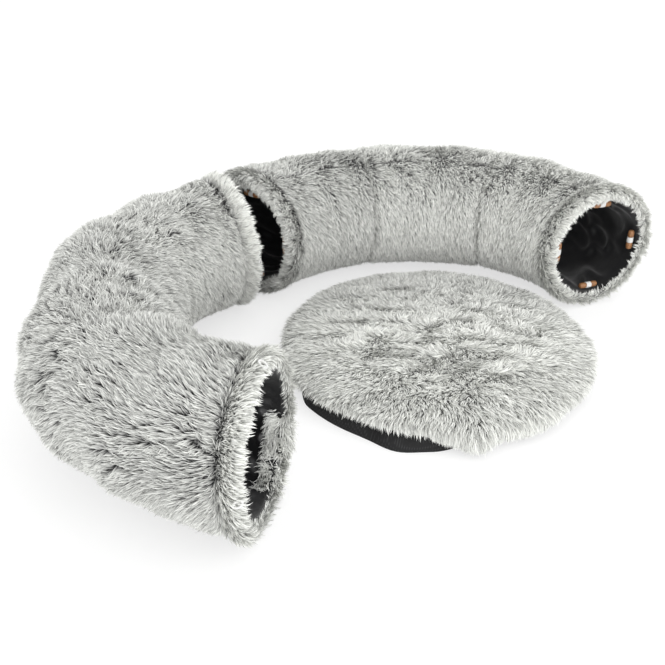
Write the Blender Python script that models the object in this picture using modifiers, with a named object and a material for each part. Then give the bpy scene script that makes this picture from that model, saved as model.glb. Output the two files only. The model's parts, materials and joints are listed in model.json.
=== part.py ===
"""Donut cat tunnel: two half-ring plush tunnels that button together, and a loose round cushion.

Metres, +Z up. The floor is Z = 0 and the origin is under the middle of the whole set-out.
The half-rings lie opened out: the one with elastic loops on the left, the one with toggles behind.
They bend at their panel seams and swing at the join, and so close to a ring round the cushion.
"""
import bpy
from math import cos, pi, radians, sin
from mathutils import Matrix, Vector

# Tunnel, over the pile
mouth_radius = 0.125          # fur roll round each mouth, out to the tips of the pile
tunnel_half_width = 0.134     # body of the tunnel, half across
tunnel_half_height = 0.130    # body of the tunnel, half high
stitch_radius = 0.1175        # where the stitch line behind the roll draws the pile in
seam_half_width = 0.127       # where a panel seam draws the pile in
seam_half_height = 0.1255
swell_length = 0.055          # how far from a seam the pile is back to its full height

# Panels of the half-rings, along the middle of the tunnel
panel_length = 0.294
loop_panel_turns = [radians(47.5), radians(39.5), radians(47.5)]   # from the free mouth to the join
toggle_panel_turns = [radians(35.5), radians(37.5), radians(47)]   # from the join to the free mouth
join_opening = radians(17.9)           # between the two mouths at the join
seam_gap = 0.0006                      # between the cut ends of two panels
seam_axis_clearance = 0.0015           # a seam bends about a line just past its inner edge
join_axis_offset = 0.0928              # the join swings about a line inside the outer edge
join_gap = 0.006                       # between two mouths that stand face to face

# Inside of the tunnel
cover_thickness = 0.027       # pile and backing together, over the outside of the lining
lining_mouth_radius = 0.0995  # outside of the lining where it meets the roll
lining_taper_length = 0.07
lining_thickness = 0.0012

# Fur roll round a mouth, and the wire hoops
roll_length = 0.036
roll_depth = 0.030
roll_neck_share = 0.62        # how much of the roll's draw-in is left at its back edge
wire_diameter = 0.0035
step_length = 0.007           # of the step in a middle cover that a seam hoop sits in
fit_gap = 0.0003              # between sewn pieces that touch

# Elastic, 1.2 mm thick
elastic_thickness = 0.0012
loop_width = 0.008
loop_tail = 0.008             # straight end of a loop, past the curve of the roll
loop_opening = 0.0075
loop_root = radians(58)       # from the crest of the roll back to where the loop is sewn in

# Toggles
toggle_length = 0.041
toggle_radius = 0.0062
toggle_end_radius = 0.0030
toggle_waist_radius = 0.0048
toggle_end_chamfer = 0.0012
band_width = 0.012
band_clearance = 0.0003
toggle_setback = 0.021        # behind the front of the roll

# Cushion
cushion_radius = 0.287        # out to the tips of the pile
cushion_height = 0.090
cushion_edge_height = 0.036   # widest level of the pile
base_radius = 0.281           # black cloth, at its upper edge
base_foot_radius = 0.262      # black cloth, where it leaves the floor
base_height = 0.022
base_thickness = 0.0015
pile_thickness = 0.026
fill_edge_height = 0.012      # of the filling, over its foot
fill_foot_inset = 0.010       # of the filling, inside the foot of the cloth

# Soft folds in the covers, and lumps in the cushion's pile
fold_depth = 0.016            # from a crest down to a hollow
lump_depth = 0.018

# Where things stand in the room, before the set-out is centred
loop_mouth_place = Vector((-0.081, 0.840))
loop_mouth_heading = radians(167.5)    # into the free mouth of the loop half
cushion_place = Vector((0.188, 1.262))

# Facets
ring_sides = 24
roll_front_points = 5
wire_bevel_resolution = 1
toggle_sides = 8
cushion_sides = 40
loop_points = 7

# Shares
panel_shares = (0.0, 0.05, 0.13, 0.22, 0.31, 0.41, 0.5, 0.59, 0.69, 0.78, 0.87, 0.95, 1.0)
crown_shares = (0.0, 0.1, 0.2, 0.3, 0.4, 0.5, 0.6, 0.7, 0.79, 0.87, 0.93, 0.97)
# Waves of the folds: length over a panel's length, whole turns round the tunnel, start
fold_wave_shares = ((0.52, 1, 0.15), (0.37, -2, 0.60), (0.30, 3, 0.35))
fold_strength_shares = {"loop": 1.0, "toggle": 0.6}
fold_start_shares = {"loop": 0.0, "toggle": 0.4}
# Waves of the lumps: length over the cushion's radius, heading over a whole turn, start
lump_wave_shares = ((0.36, 0.05, 0.1), (0.31, 0.21, 0.7), (0.40, 0.38, 0.4))
lining_shares = (0.0, 0.25, 0.5, 0.75, 1.0)

facet_share = cos(pi / ring_sides)
passage_half_width = tunnel_half_width - cover_thickness
passage_half_height = tunnel_half_height - cover_thickness
seam_axis_offset = seam_half_width + seam_axis_clearance
step_depth = wire_diameter + 3 * fit_gap
roll_round = roll_depth / 2
roll_middle_radius = mouth_radius - roll_round
lip_radius = mouth_radius - roll_depth
axis_height = tunnel_half_height * facet_share
up = Vector((0, 0, 1))


def clear_scene():
    for item in list(bpy.data.objects):
        bpy.data.objects.remove(item, do_unlink=True)


def make_material(name, colour, roughness, metallic=0.0):
    material = bpy.data.materials.new(name)
    material.use_nodes = True
    shader = material.node_tree.nodes["Principled BSDF"]
    shader.inputs["Base Color"].default_value = (*colour, 1)
    shader.inputs["Roughness"].default_value = roughness
    shader.inputs["Metallic"].default_value = metallic
    return material


def link(item, material=None):
    collection.objects.link(item)
    if material is not None:
        item.data.materials.append(material)
    return item


def make_body(name, pivot, parent=None):
    """An empty on the axis that a group of pieces turns about."""
    empty = bpy.data.objects.new(name, None)
    empty.location = pivot
    collection.objects.link(empty)
    if parent is not None:
        empty.parent = parent
        empty.location = Vector(pivot) - parent_place(parent)
    return empty


def parent_place(empty):
    place = Vector((0, 0, 0))
    while empty is not None:
        place += empty.location
        empty = empty.parent
    return place


def attach(item, body):
    place = item.matrix_basis.copy()
    item.parent = body
    item.matrix_basis = Matrix.Translation(-parent_place(body)) @ place
    return item


def flat(heading):
    return Vector((cos(heading), sin(heading), 0))


def left_of(heading):
    return Vector((-sin(heading), cos(heading), 0))


def station(panel, along):
    """Centre and heading at a distance along a panel. It turns to the right, and straight at a mouth."""
    start, heading, turn, mouth_at = panel
    straight = roll_length + fit_gap
    lead = straight if mouth_at == "start" else 0.0
    bend = panel_length - straight if mouth_at else panel_length
    radius = bend / turn
    bend_start = start + flat(heading) * min(along, lead)
    middle = bend_start - radius * left_of(heading)
    now = heading - turn * min(max(along - lead, 0.0), bend) / bend
    past = max(along - lead - bend, 0.0)
    return middle + radius * left_of(now) + flat(now) * past, now


def section(centre, heading, half_width, half_height, shrink=0.0, hollow=None):
    """Ring of points across the tunnel. A function of the angle can hollow it further."""
    side = left_of(heading)
    points = []
    for k in range(ring_sides):
        angle = (k + 0.5) * 2 * pi / ring_sides
        less = shrink + (hollow(angle) if hollow else 0.0)
        points.append(centre + side * (half_width - less) * cos(angle)
                      + up * (half_height - less) * sin(angle))
    return points


def drawn_in(waves):
    """Three waves as a share: 0 on a crest and 1 in a hollow."""
    return min(max((1 - waves / 2) / 2, 0.0), 1.0)


def fold(half, along, angle):
    """How far soft folds draw the pile in, at a distance from the first mouth of a half ring and
    an angle round the tunnel. The underside, which lies on the floor, has none."""
    waves = 0.0
    for length, turns, start in fold_wave_shares:
        phase = along / (length * panel_length) + start + fold_start_shares[half]
        waves += cos(2 * pi * phase + turns * angle)
    off_floor = ease(1 + sin(angle), 0.5)
    return fold_depth * fold_strength_shares[half] * drawn_in(waves) * off_floor


def lump(x, y):
    """How far the cushion's pile dips at a place, fading to its edge."""
    waves = 0.0
    for length, heading, start in lump_wave_shares:
        along = x * cos(2 * pi * heading) + y * sin(2 * pi * heading)
        waves += cos(2 * pi * (along / (length * cushion_radius) + start))
    out = min((x * x + y * y) / cushion_radius ** 2, 1.0)
    return lump_depth * drawn_in(waves) * (1 - out ** 2)


def swell(distance):
    """0 at a seam and 1 where the pile stands free of it, rising at a slope that ends level."""
    away = min(max(distance / swell_length, 0.0), 1.0)
    return 1 - (1 - away) ** 2


def ease(distance, reach):
    share = min(max(distance / reach, 0.0), 1.0)
    return share * share * (3 - 2 * share)


def outer_size(start_gap, end_gap, start_size, end_size):
    size = []
    for full, first, last in zip((tunnel_half_width, tunnel_half_height), start_size, end_size):
        near_start = first + (full - first) * swell(start_gap)
        near_end = last + (full - last) * swell(end_gap)
        size.append(min(near_start, near_end))
    return size


def passage_size(from_mouth):
    """Half width and half height of the lining, from the mouth inwards."""
    share = ease(from_mouth, lining_taper_length)
    return (lining_mouth_radius + (passage_half_width - lining_mouth_radius) * share,
            lining_mouth_radius + (passage_half_height - lining_mouth_radius) * share)


def loft_wall(name, outer, inner, material):
    """A wall between two stacks of sections, closed at both ends. A stack runs along the tunnel."""
    n = ring_sides
    vertices = [p for ring in outer + inner for p in ring]
    faces = []
    second = len(outer) * n

    def span(a, b, inward=False):
        """Two triangles a side, with the same diagonal on both faces of the wall."""
        for k in range(n):
            j = (k + 1) % n
            for face in ((a + k, a + j, b + j), (a + k, b + j, b + k)):
                faces.append(face[::-1] if inward else face)

    for i in range(len(outer) - 1):
        span(i * n, (i + 1) * n)
    for i in range(len(inner) - 1):
        span(second + i * n, second + (i + 1) * n, inward=True)
    span(second, 0)
    span((len(outer) - 1) * n, second + (len(inner) - 1) * n)
    mesh = bpy.data.meshes.new(name)
    mesh.from_pydata(vertices, [], faces)
    mesh.shade_smooth()
    mesh.set_sharp_from_angle(angle=radians(40))
    return link(bpy.data.objects.new(name, mesh), material)


def lathe(name, profile, sides, material, closed, place):
    """A profile of (radius, height) turned about local Z; it runs down its outer side."""
    mesh = bpy.data.meshes.new(name)
    vertices = [(r, 0, z) for r, z in profile]
    edges = [(i, i + 1) for i in range(len(profile) - 1)]
    if closed:
        edges.append((len(profile) - 1, 0))
    mesh.from_pydata(vertices, edges, [])
    item = link(bpy.data.objects.new(name, mesh), material)
    screw = item.modifiers.new("Turn", "SCREW")
    screw.steps = sides
    screw.render_steps = sides
    screw.use_merge_vertices = True
    screw.merge_threshold = 0.00001
    screw.use_smooth_shade = True
    item.matrix_basis = place
    return item


def mouth_place(mouth):
    """Local Z out of the mouth, local Y up, and a flat facet at each quarter."""
    centre, out = mouth
    axes = Matrix((left_of(out), up, flat(out))).transposed().to_4x4()
    return Matrix.Translation(centre) @ axes


def panel_span(mouth_at):
    """Where the cloth of a panel begins and ends along it, clear of a roll or of the next panel."""
    begin = roll_length + fit_gap if mouth_at == "start" else seam_gap / 2
    finish = panel_length - (roll_length + fit_gap if mouth_at == "end" else seam_gap / 2)
    return begin, finish


def section_at(panel, along, half_width, half_height, shrink=0.0, hollow=None):
    centre, heading = station(panel, along)
    return section(centre, heading, half_width, half_height, shrink, hollow)


def lining_size(along, mouth_at):
    if mouth_at == "start":
        return passage_size(along - roll_length)
    if mouth_at == "end":
        return passage_size(panel_length - roll_length - along)
    return passage_half_width, passage_half_height


def lining_places(mouth_at):
    """Stations that a lining and the back of its cover share, so that they stay the same gap apart."""
    begin, finish = panel_span(mouth_at)
    places = [begin + (finish - begin) * share for share in lining_shares]
    if mouth_at is None:
        places[1:1] = [begin + step_length]
        places[-1:-1] = [finish - step_length]
    return places


def make_cover(half, number, panel, material):
    """Fur panel with soft folds. The middle one holds a hoop in a step at each end."""
    mouth_at = panel[3]
    begin, finish = panel_span(mouth_at)
    before_panel = (number - 1) * panel_length
    seam_size = (seam_half_width, seam_half_height)
    stitch_size = (stitch_radius, stitch_radius)
    start_size = stitch_size if mouth_at == "start" else seam_size
    end_size = stitch_size if mouth_at == "end" else seam_size
    outer = []
    for share in panel_shares:
        along = begin + (finish - begin) * share
        size = outer_size(along - begin, finish - along, start_size, end_size)
        clear = swell(min(along - begin, finish - along))
        hollow = lambda angle: clear * fold(half, before_panel + along, angle)
        outer.append(section_at(panel, along, *size, hollow=hollow))
    places = [(along, fit_gap) for along in lining_places(mouth_at)]
    if mouth_at is None:
        deep = fit_gap + step_depth
        first, second = places[0][0], places[1][0]
        before, last = places[-2][0], places[-1][0]
        places = ([(first, deep), (second, deep)] + places[1:-1]
                  + [(before, deep), (last, deep)])
    inner = []
    for along, back in places:
        inner.append(section_at(panel, along, *lining_size(along, mouth_at), -back))
    return loft_wall(f"{half}_cover_{number}", outer, inner, material)


def make_lining(name, panel, material):
    mouth_at = panel[3]
    outer = []
    inner = []
    for along in lining_places(mouth_at):
        size = lining_size(along, mouth_at)
        outer.append(section_at(panel, along, *size))
        inner.append(section_at(panel, along, *size, lining_thickness))
    return loft_wall(name, outer, inner, material)


def make_roll(name, mouth, material):
    """Fur turned over the mouth hoop: round in front, with a channel for the wire from behind."""
    profile = []
    for k in range(roll_front_points):
        angle = pi - pi * k / (roll_front_points - 1)
        profile.append((roll_middle_radius + roll_round * cos(angle), roll_round * sin(angle) - roll_round))
    neck = mouth_radius - (mouth_radius - stitch_radius) * roll_neck_share
    channel = wire_diameter / 2 + fit_gap
    floor_of_channel = -(roll_round + fit_gap)
    profile += [
        (neck, -(roll_length + roll_round) / 2),
        (stitch_radius, -roll_length),
        (roll_middle_radius + channel, -roll_length),
        (roll_middle_radius + channel, floor_of_channel),
        (roll_middle_radius - channel, floor_of_channel),
        (roll_middle_radius - channel, -roll_length),
        (lip_radius, -roll_length),
    ]
    place = mouth_place(mouth) @ Matrix.Rotation(pi / ring_sides, 4, "Z")
    return lathe(name, profile, ring_sides, material, True, place)


def make_hoop(name, centre, heading, half_width, half_height, material):
    curve = bpy.data.curves.new(name, "CURVE")
    curve.dimensions = "3D"
    spline = curve.splines.new("POLY")
    points = section(centre, heading, half_width, half_height)
    spline.points.add(len(points) - 1)
    for target, point in zip(spline.points, points):
        target.co = (*point, 1)
    spline.use_cyclic_u = True
    curve.bevel_depth = wire_diameter / 2
    curve.bevel_resolution = wire_bevel_resolution
    return link(bpy.data.objects.new(name, curve), material)


def mouth_hoop(name, mouth, material):
    centre, out = mouth
    depth = roll_round + 2 * fit_gap + wire_diameter / 2
    return make_hoop(name, centre - depth * flat(out), out, roll_middle_radius, roll_middle_radius, material)


def seam_hoop(name, panel, at_end, material):
    """Wire in the step at one end of a middle panel, outside the lining."""
    depth = (seam_gap + step_length) / 2
    along = panel_length - depth if at_end else depth
    centre, heading = station(panel, along)
    out = fit_gap + wire_diameter / 2
    return make_hoop(name, centre, heading, passage_half_width + out, passage_half_height + out, material)


def clock_frame(mouth, quarter):
    """Centre of the mouth, with the directions out of it, along its radius and along its rim."""
    centre, out = mouth
    angle = quarter * pi / 2
    radial = left_of(out) * cos(angle) + up * sin(angle)
    along_rim = -left_of(out) * sin(angle) + up * cos(angle)
    return centre, flat(out), radial, along_rim


def loop_path(share):
    """Where a loop's lower strand runs over the roll: distance back, height over the middle, and
    the way up from the roll. It follows the round of the roll and then goes straight on."""
    round_length = roll_round * loop_root
    total = round_length + loop_tail
    along = share * total
    if along < round_length:
        angle = loop_root * (1 - along / round_length)
        return roll_round - roll_round * sin(angle), roll_round * cos(angle), -sin(angle), cos(angle)
    return roll_round + along - round_length, roll_round, 0.0, 1.0


def make_loop(name, mouth, quarter, lies_outside, material):
    """Flat elastic sewn in at the front of the roll and folded back over it."""
    shares = [k / (loop_points - 1) for k in range(loop_points)]

    def point(share, lift):
        back, height, nx, ny = loop_path(share)
        back += nx * lift
        height += ny * lift
        if not lies_outside:
            height = -height
        return back, facet_share * (roll_middle_radius + height)

    def gap(share):
        return loop_opening * sin(pi * share) ** 0.7

    low = fit_gap / facet_share
    outline = [point(s, low + 2 * elastic_thickness + gap(s)) for s in shares]
    outline += [point(s, low) for s in reversed(shares)]
    inner_shares = shares[1:-1]
    hole = [point(s, low + elastic_thickness + gap(s)) for s in inner_shares]
    hole += [point(s, low + elastic_thickness) for s in reversed(inner_shares)]
    curve = bpy.data.curves.new(name, "CURVE")
    curve.dimensions = "2D"
    curve.fill_mode = "BOTH"
    curve.extrude = loop_width / 2
    for shape in (outline, hole):
        spline = curve.splines.new("POLY")
        spline.points.add(len(shape) - 1)
        for target, (back, radius) in zip(spline.points, shape):
            target.co = (back, radius, 0, 1)
        spline.use_cyclic_u = True
    item = link(bpy.data.objects.new(name, curve), material)
    centre, out, radial, along_rim = clock_frame(mouth, quarter)
    axes = Matrix((-out, radial, -along_rim)).transposed().to_4x4()
    item.matrix_basis = Matrix.Translation(centre) @ axes
    return item


def toggle_frame(mouth, quarter):
    """Local Z along the toggle, local X from the tunnel's middle towards the lip."""
    centre, out, radial, along_rim = clock_frame(mouth, quarter)
    band_radius = toggle_waist_radius + band_clearance + elastic_thickness
    seat = lip_radius * facet_share - fit_gap - band_radius
    place = centre - out * toggle_setback + radial * seat
    axes = Matrix((radial, along_rim.cross(radial), along_rim)).transposed().to_4x4()
    return Matrix.Translation(place) @ axes, place, radial


def make_toggle(name, place, material):
    half = toggle_length / 2
    shoulder = band_width / 2 + 2 * band_clearance
    belly = (half + shoulder) / 2
    upper = [
        (0.0, half),
        (toggle_end_radius, half),
        (toggle_end_radius + toggle_end_chamfer, half - toggle_end_chamfer),
        (toggle_radius, belly),
        (toggle_radius, shoulder),
        (toggle_waist_radius, shoulder - band_clearance),
    ]
    lower = [(r, -z) for r, z in reversed(upper)]
    return lathe(name, upper + lower, toggle_sides, material, False, place)


def make_band(name, place, material):
    inner = toggle_waist_radius + band_clearance
    outer = inner + elastic_thickness
    half = band_width / 2
    profile = [(inner, half), (outer, half), (outer, -half), (inner, -half)]
    return lathe(name, profile, toggle_sides, material, True, place)


def lumpy_pad(name, outer, inner, sides, material, place):
    """Two profiles of (radius, height) turned about local Z, with lumps pressed into the crown of
    the outer one. The outer profile begins on the axis, and the inner one ends there."""
    vertices = [(0, 0, outer[0][1] - lump(0, 0))]
    rings = (outer + inner)[1:-1]
    for number, (r, z) in enumerate(rings, 1):
        for k in range(sides):
            x = r * cos(k * 2 * pi / sides)
            y = r * sin(k * 2 * pi / sides)
            vertices.append((x, y, z - lump(x, y) if number < len(crown_shares) else z))
    vertices.append((0, 0, inner[-1][1]))
    faces = []
    for k in range(sides):
        j = (k + 1) % sides
        faces.append((0, 1 + k, 1 + j))
        for ring in range(len(rings) - 1):
            a = 1 + ring * sides
            b = a + sides
            faces.append((a + k, b + k, b + j, a + j))
        faces.append((len(vertices) - 1, b + j, b + k))
    mesh = bpy.data.meshes.new(name)
    mesh.from_pydata(vertices, [], faces)
    mesh.shade_smooth()
    item = link(bpy.data.objects.new(name, mesh), material)
    item.matrix_basis = place
    return item


def cushion_base(place, material):
    """Shallow tray of woven cloth with a rounded foot."""
    foot_rise = base_height * 0.25
    outside = [(base_foot_radius, 0.0), ((base_foot_radius + base_radius) / 2, foot_rise),
               (base_radius, base_height)]
    inside = [(r - base_thickness, z + base_thickness) for r, z in outside[:2]]
    inside.append((base_radius - base_thickness, base_height))
    profile = [(0.0, base_thickness)] + inside + list(reversed(outside)) + [(0.0, 0.0)]
    return lathe("cushion_base", profile, cushion_sides, material, False, place)


def crown(radius, edge_radius, low, high):
    """Height of a crowned pad: level over its middle and round at its edge."""
    share = min(radius / edge_radius, 1.0)
    return low + (high - low) * (1 - share ** 2.6) ** 0.75


def cushion_fill(place, material):
    low = base_thickness + fit_gap
    foot = base_foot_radius - fill_foot_inset
    edge = base_radius - pile_thickness
    top = cushion_height - pile_thickness - fit_gap
    side = low + fill_edge_height
    shares = (0.0, 0.35, 0.65, 0.86, 0.96)
    profile = [(edge * s, crown(edge * s, edge, side, top)) for s in shares]
    profile += [(edge, side), (foot, low), (0.0, low)]
    return lathe("cushion_fill", profile, cushion_sides, material, False, place)


def cushion_top(place, material):
    """Fur cover: its inner face lies on the filling, its outer face is the tips of the pile."""
    edge_low = base_height + fit_gap
    outer = [(cushion_radius * s, crown(cushion_radius * s, cushion_radius, cushion_edge_height,
                                        cushion_height)) for s in crown_shares]
    outer += [(cushion_radius, cushion_edge_height), (base_radius, edge_low)]
    fill_edge = base_radius - pile_thickness
    fill_top = cushion_height - pile_thickness - fit_gap
    side = base_thickness + fit_gap + fill_edge_height
    inner_shares = (0.96, 0.86, 0.65, 0.35, 0.0)
    rim = base_radius - base_thickness - fit_gap
    inner = [(rim, edge_low), (fill_edge + fit_gap, side + fit_gap)]
    inner += [(fill_edge * s, crown(fill_edge * s, fill_edge, side, fill_top) + 2 * fit_gap)
              for s in inner_shares]
    return lumpy_pad("cushion_top", outer, inner, cushion_sides, material, place)


def chain_panels(start, heading, turns):
    panels = []
    for turn, mouth_at in zip(turns, ("start", None, "end")):
        panels.append((start, heading, turn, mouth_at))
        start, heading = station(panels[-1], panel_length)
    return panels, (start, heading)


def on_floor(point):
    return Vector((point.x, point.y, 0))


def seam_axis(seam):
    """Upright line at the edge of a panel seam that lies on the inside of the ring."""
    centre, heading = seam[:2]
    return on_floor(centre - seam_axis_offset * left_of(heading))


def join_geometry(mouth):
    """Axis of the join, and the first mouth of the toggle half, swung open on its partner."""
    centre, out = mouth
    axis = centre + flat(out) * join_gap / 2 + left_of(out) * join_axis_offset
    shut = centre + flat(out) * join_gap
    swing = Matrix.Rotation(join_opening, 3, "Z")
    return on_floor(axis), axis + swing @ (shut - axis), out + join_opening


def build():
    fur = make_material("pile_fur", (0.62, 0.62, 0.61), 0.95)
    satin = make_material("black_satin", (0.012, 0.012, 0.013), 0.45)
    weave = make_material("black_weave", (0.02, 0.02, 0.021), 0.85)
    spring = make_material("spring_wire", (0.55, 0.56, 0.58), 0.35, 1.0)
    wood = make_material("turned_wood", (0.36, 0.17, 0.07), 0.5)
    elastic = make_material("white_elastic", (0.85, 0.85, 0.84), 0.8)
    wadding = make_material("wadding", (0.88, 0.88, 0.86), 0.95)

    start = Vector((*loop_mouth_place, axis_height))
    loop_panels, loop_end = chain_panels(start, loop_mouth_heading, loop_panel_turns)
    join_pivot, second, heading = join_geometry(loop_end)
    toggle_panels, toggle_end = chain_panels(second, heading, toggle_panel_turns)

    root = make_body("loop_middle_body", (0, 0, 0))
    loop_free = make_body("loop_free_body", seam_axis(loop_panels[1]), root)
    loop_join = make_body("loop_join_body", seam_axis(loop_panels[2]), root)
    toggle_join = make_body("toggle_join_body", join_pivot, loop_join)
    toggle_middle = make_body("toggle_middle_body", seam_axis(toggle_panels[1]), toggle_join)
    toggle_free = make_body("toggle_free_body", seam_axis(toggle_panels[2]), toggle_middle)
    cushion = make_body("cushion_body", (*cushion_place, 0), root)

    halves = (
        ("loop", loop_panels, (loop_free, root, loop_join)),
        ("toggle", toggle_panels, (toggle_join, toggle_middle, toggle_free)),
    )
    for half, panels, bodies in halves:
        for number, (panel, body) in enumerate(zip(panels, bodies), 1):
            attach(make_cover(half, number, panel, fur), body)
            attach(make_lining(f"{half}_lining_{number}", panel, satin), body)
        attach(seam_hoop(f"{half}_seam_hoop_1", panels[1], False, spring), bodies[1])
        attach(seam_hoop(f"{half}_seam_hoop_2", panels[1], True, spring), bodies[1])

    mouths = (
        ("loop_free", (start, loop_mouth_heading + pi), loop_free),
        ("loop_join", loop_end, loop_join),
        ("toggle_join", (second, heading + pi), toggle_join),
        ("toggle_free", toggle_end, toggle_free),
    )
    clock = ("left", "top", "right", "bottom")
    for name, mouth, body in mouths:
        attach(make_roll(f"{name}_roll", mouth, fur), body)
        attach(mouth_hoop(f"{name}_hoop", mouth, spring), body)
        for quarter, side in enumerate(clock):
            if name.startswith("loop"):
                outside = side != "bottom" and not (name == "loop_join" and side == "left")
                attach(make_loop(f"{name}_loop_{side}", mouth, quarter, outside, elastic), body)
            else:
                frame, place, radial = toggle_frame(mouth, quarter)
                turning = make_body(f"{name}_toggle_{side}_body", place, body)
                attach(make_toggle(f"{name}_toggle_{side}", frame, wood), turning)
                attach(make_band(f"{name}_band_{side}", frame, elastic), turning)
                axes.append((f"{name}_toggle_{side}", turning, radial))

    middle = Matrix.Translation(Vector((*cushion_place, 0)))
    attach(cushion_base(middle, weave), cushion)
    attach(cushion_fill(middle, wadding), cushion)
    attach(cushion_top(middle, fur), cushion)
    for name, body in (("loop_free_bend", loop_free), ("loop_join_bend", loop_join),
                       ("join_swing", toggle_join), ("toggle_join_bend", toggle_middle),
                       ("toggle_free_bend", toggle_free), ("cushion_slide", cushion)):
        axes.append((name, body, up))
    stations = [("loop", loop_panels, loop_end), ("toggle", toggle_panels, toggle_end)]
    return root, stations


def centre_on_floor(root):
    """Puts the middle of the set-out's box over the origin."""
    bpy.context.view_layer.update()
    graph = bpy.context.evaluated_depsgraph_get()
    corners = []
    for item in collection.objects:
        if item.type == "EMPTY":
            continue
        shape = item.evaluated_get(graph)
        mesh = shape.to_mesh()
        corners += [shape.matrix_world @ v.co for v in mesh.vertices]
        shape.to_mesh_clear()
    low = Vector([min(c[i] for c in corners) for i in range(3)])
    high = Vector([max(c[i] for c in corners) for i in range(3)])
    middle = (low + high) / 2
    root.location = Vector((-middle.x, -middle.y, -low.z))
    bpy.context.view_layer.update()
    return root.location, high - low


def report(shift, size, stations):
    print("shift", [round(v, 5) for v in shift], "size", [round(v, 4) for v in size])
    for name, body, axis in axes:
        place = body.matrix_world.translation
        print("axis", name, [round(v, 5) for v in place], [round(v, 5) for v in axis])
    for half, panels, end in stations:
        for centre, heading in [(p[0], p[1]) for p in panels] + [end]:
            place = centre + shift
            print("station", half, [round(v, 4) for v in place], round(heading * 180 / pi, 2))


clear_scene()
collection = bpy.data.collections.new("donut_cat_tunnel")
bpy.context.scene.collection.children.link(collection)
axes = []
root_body, half_stations = build()
moved, extent = centre_on_floor(root_body)
report(moved, extent, half_stations)
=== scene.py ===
"""A furry donut cat tunnel: two half-ring tunnels that toggle together, and a loose round cushion.

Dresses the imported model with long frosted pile, crumpled lining, turned toggles, elastic and
cushion cloth, and sets a plain pale stage for it.
"""
import json
from math import cos, pi, radians, sin, tau

import bpy
import numpy as np
from mathutils import Matrix, Vector


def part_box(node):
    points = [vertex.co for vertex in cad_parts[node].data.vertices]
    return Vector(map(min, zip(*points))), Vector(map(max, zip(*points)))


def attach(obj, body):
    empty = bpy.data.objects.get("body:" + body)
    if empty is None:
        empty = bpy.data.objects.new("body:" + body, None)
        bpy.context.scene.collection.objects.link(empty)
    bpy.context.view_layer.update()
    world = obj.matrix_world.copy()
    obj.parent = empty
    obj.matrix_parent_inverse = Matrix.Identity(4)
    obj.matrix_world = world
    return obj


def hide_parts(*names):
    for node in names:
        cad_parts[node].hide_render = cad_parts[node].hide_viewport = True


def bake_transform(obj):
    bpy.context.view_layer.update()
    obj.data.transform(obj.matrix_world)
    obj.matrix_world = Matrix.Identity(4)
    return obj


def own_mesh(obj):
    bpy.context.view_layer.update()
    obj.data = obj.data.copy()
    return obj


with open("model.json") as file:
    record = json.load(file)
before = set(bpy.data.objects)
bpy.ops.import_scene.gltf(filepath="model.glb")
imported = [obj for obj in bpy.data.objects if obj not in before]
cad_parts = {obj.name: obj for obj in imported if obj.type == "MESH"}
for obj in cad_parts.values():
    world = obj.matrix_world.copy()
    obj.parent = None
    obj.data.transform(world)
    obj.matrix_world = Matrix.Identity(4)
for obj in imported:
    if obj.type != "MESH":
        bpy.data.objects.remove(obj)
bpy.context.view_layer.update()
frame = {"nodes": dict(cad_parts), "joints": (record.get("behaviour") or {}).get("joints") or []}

bl_info = {
    "name": "Donut Cat Tunnel Finish",
    "version": (1, 0, 0),
    "blender": (4, 5, 0),
    "location": "View3D > Sidebar > Cat Tunnel",
    "description": "Pile, lining, toggles, elastic, cushion and stage for a donut cat tunnel",
    "category": "Object",
}

JOINTS = {joint["name"]: joint for joint in frame["joints"]}

# Sizes of the solids, over the tips of the pile and in the passage, in metres
MOUTH_RADIUS = 0.125
HALF_WIDTH = 0.134
HALF_HEIGHT = 0.130
SEAM_HALF_WIDTH = 0.127
SEAM_HALF_HEIGHT = 0.1255
STITCH_RADIUS = 0.1175
PASSAGE_HALF_WIDTH = 0.107
PASSAGE_HALF_HEIGHT = 0.103
LINING_MOUTH_RADIUS = 0.0995
LINING_TAPER = 0.07
ROLL_LENGTH = 0.036
ROLL_ROUND = 0.015
PANEL_LENGTH = 0.294
HALF_LENGTH = 3 * PANEL_LENGTH
SEAMS = (PANEL_LENGTH, 2 * PANEL_LENGTH)
CUSHION_RADIUS = 0.287
CUSHION_HEIGHT = 0.090
# Layout on the floor: places in metres, headings in radians, and what each panel turns in degrees
PATH_POINTS = 7057
STRAIGHT = 0.0363
AXIS_HEIGHT = HALF_HEIGHT * cos(pi / 24)
JOIN_OPENING = radians(17.9)
JOIN_GAP = 0.006
JOIN_AXIS_OFFSET = 0.0928
LOOP_START = (-0.081, 0.840)
LOOP_HEADING = radians(167.5)
LOOP_TURNS = (47.5, 39.5, 47.5)
TOGGLE_TURNS = (35.5, 37.5, 47.0)
CUSHION_PLACE = (0.188, 1.262)
# Folds of the covers and lumps of the cushion. A wave is its length as a share of the panel or of
# the radius, its turns round the tunnel or its heading as a share of a turn, and its start
FOLD_DEPTH = 0.016
FOLD_WAVES = ((0.52, 1, 0.15), (0.37, -2, 0.60), (0.30, 3, 0.35))
FOLD_STRENGTH = {"loop": (0.6, 0.4), "toggle": (0.4, 0.3)}
FOLD_CHANGE = 0.08
FOLD_START = {"loop": 0.0, "toggle": 0.4}
LUMP_DEPTH = 0.018
LUMP_WAVES = ((0.36, 0.05, 0.1), (0.31, 0.21, 0.7), (0.40, 0.38, 0.4))
# Camera, as fitted to the photograph: metres, degrees and pixels, and the sensor in millimetres
CAMERA_HEIGHT = 0.775
CAMERA_PITCH = 29.67
FOCAL_PIXELS = 800
PICTURE_WIDTH = 665
SENSOR_WIDTH = 36.0
UP = np.array([0.0, 0.0, 1.0])
SIDES = ("left", "top", "right", "bottom")


# Paths of the half rings

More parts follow.
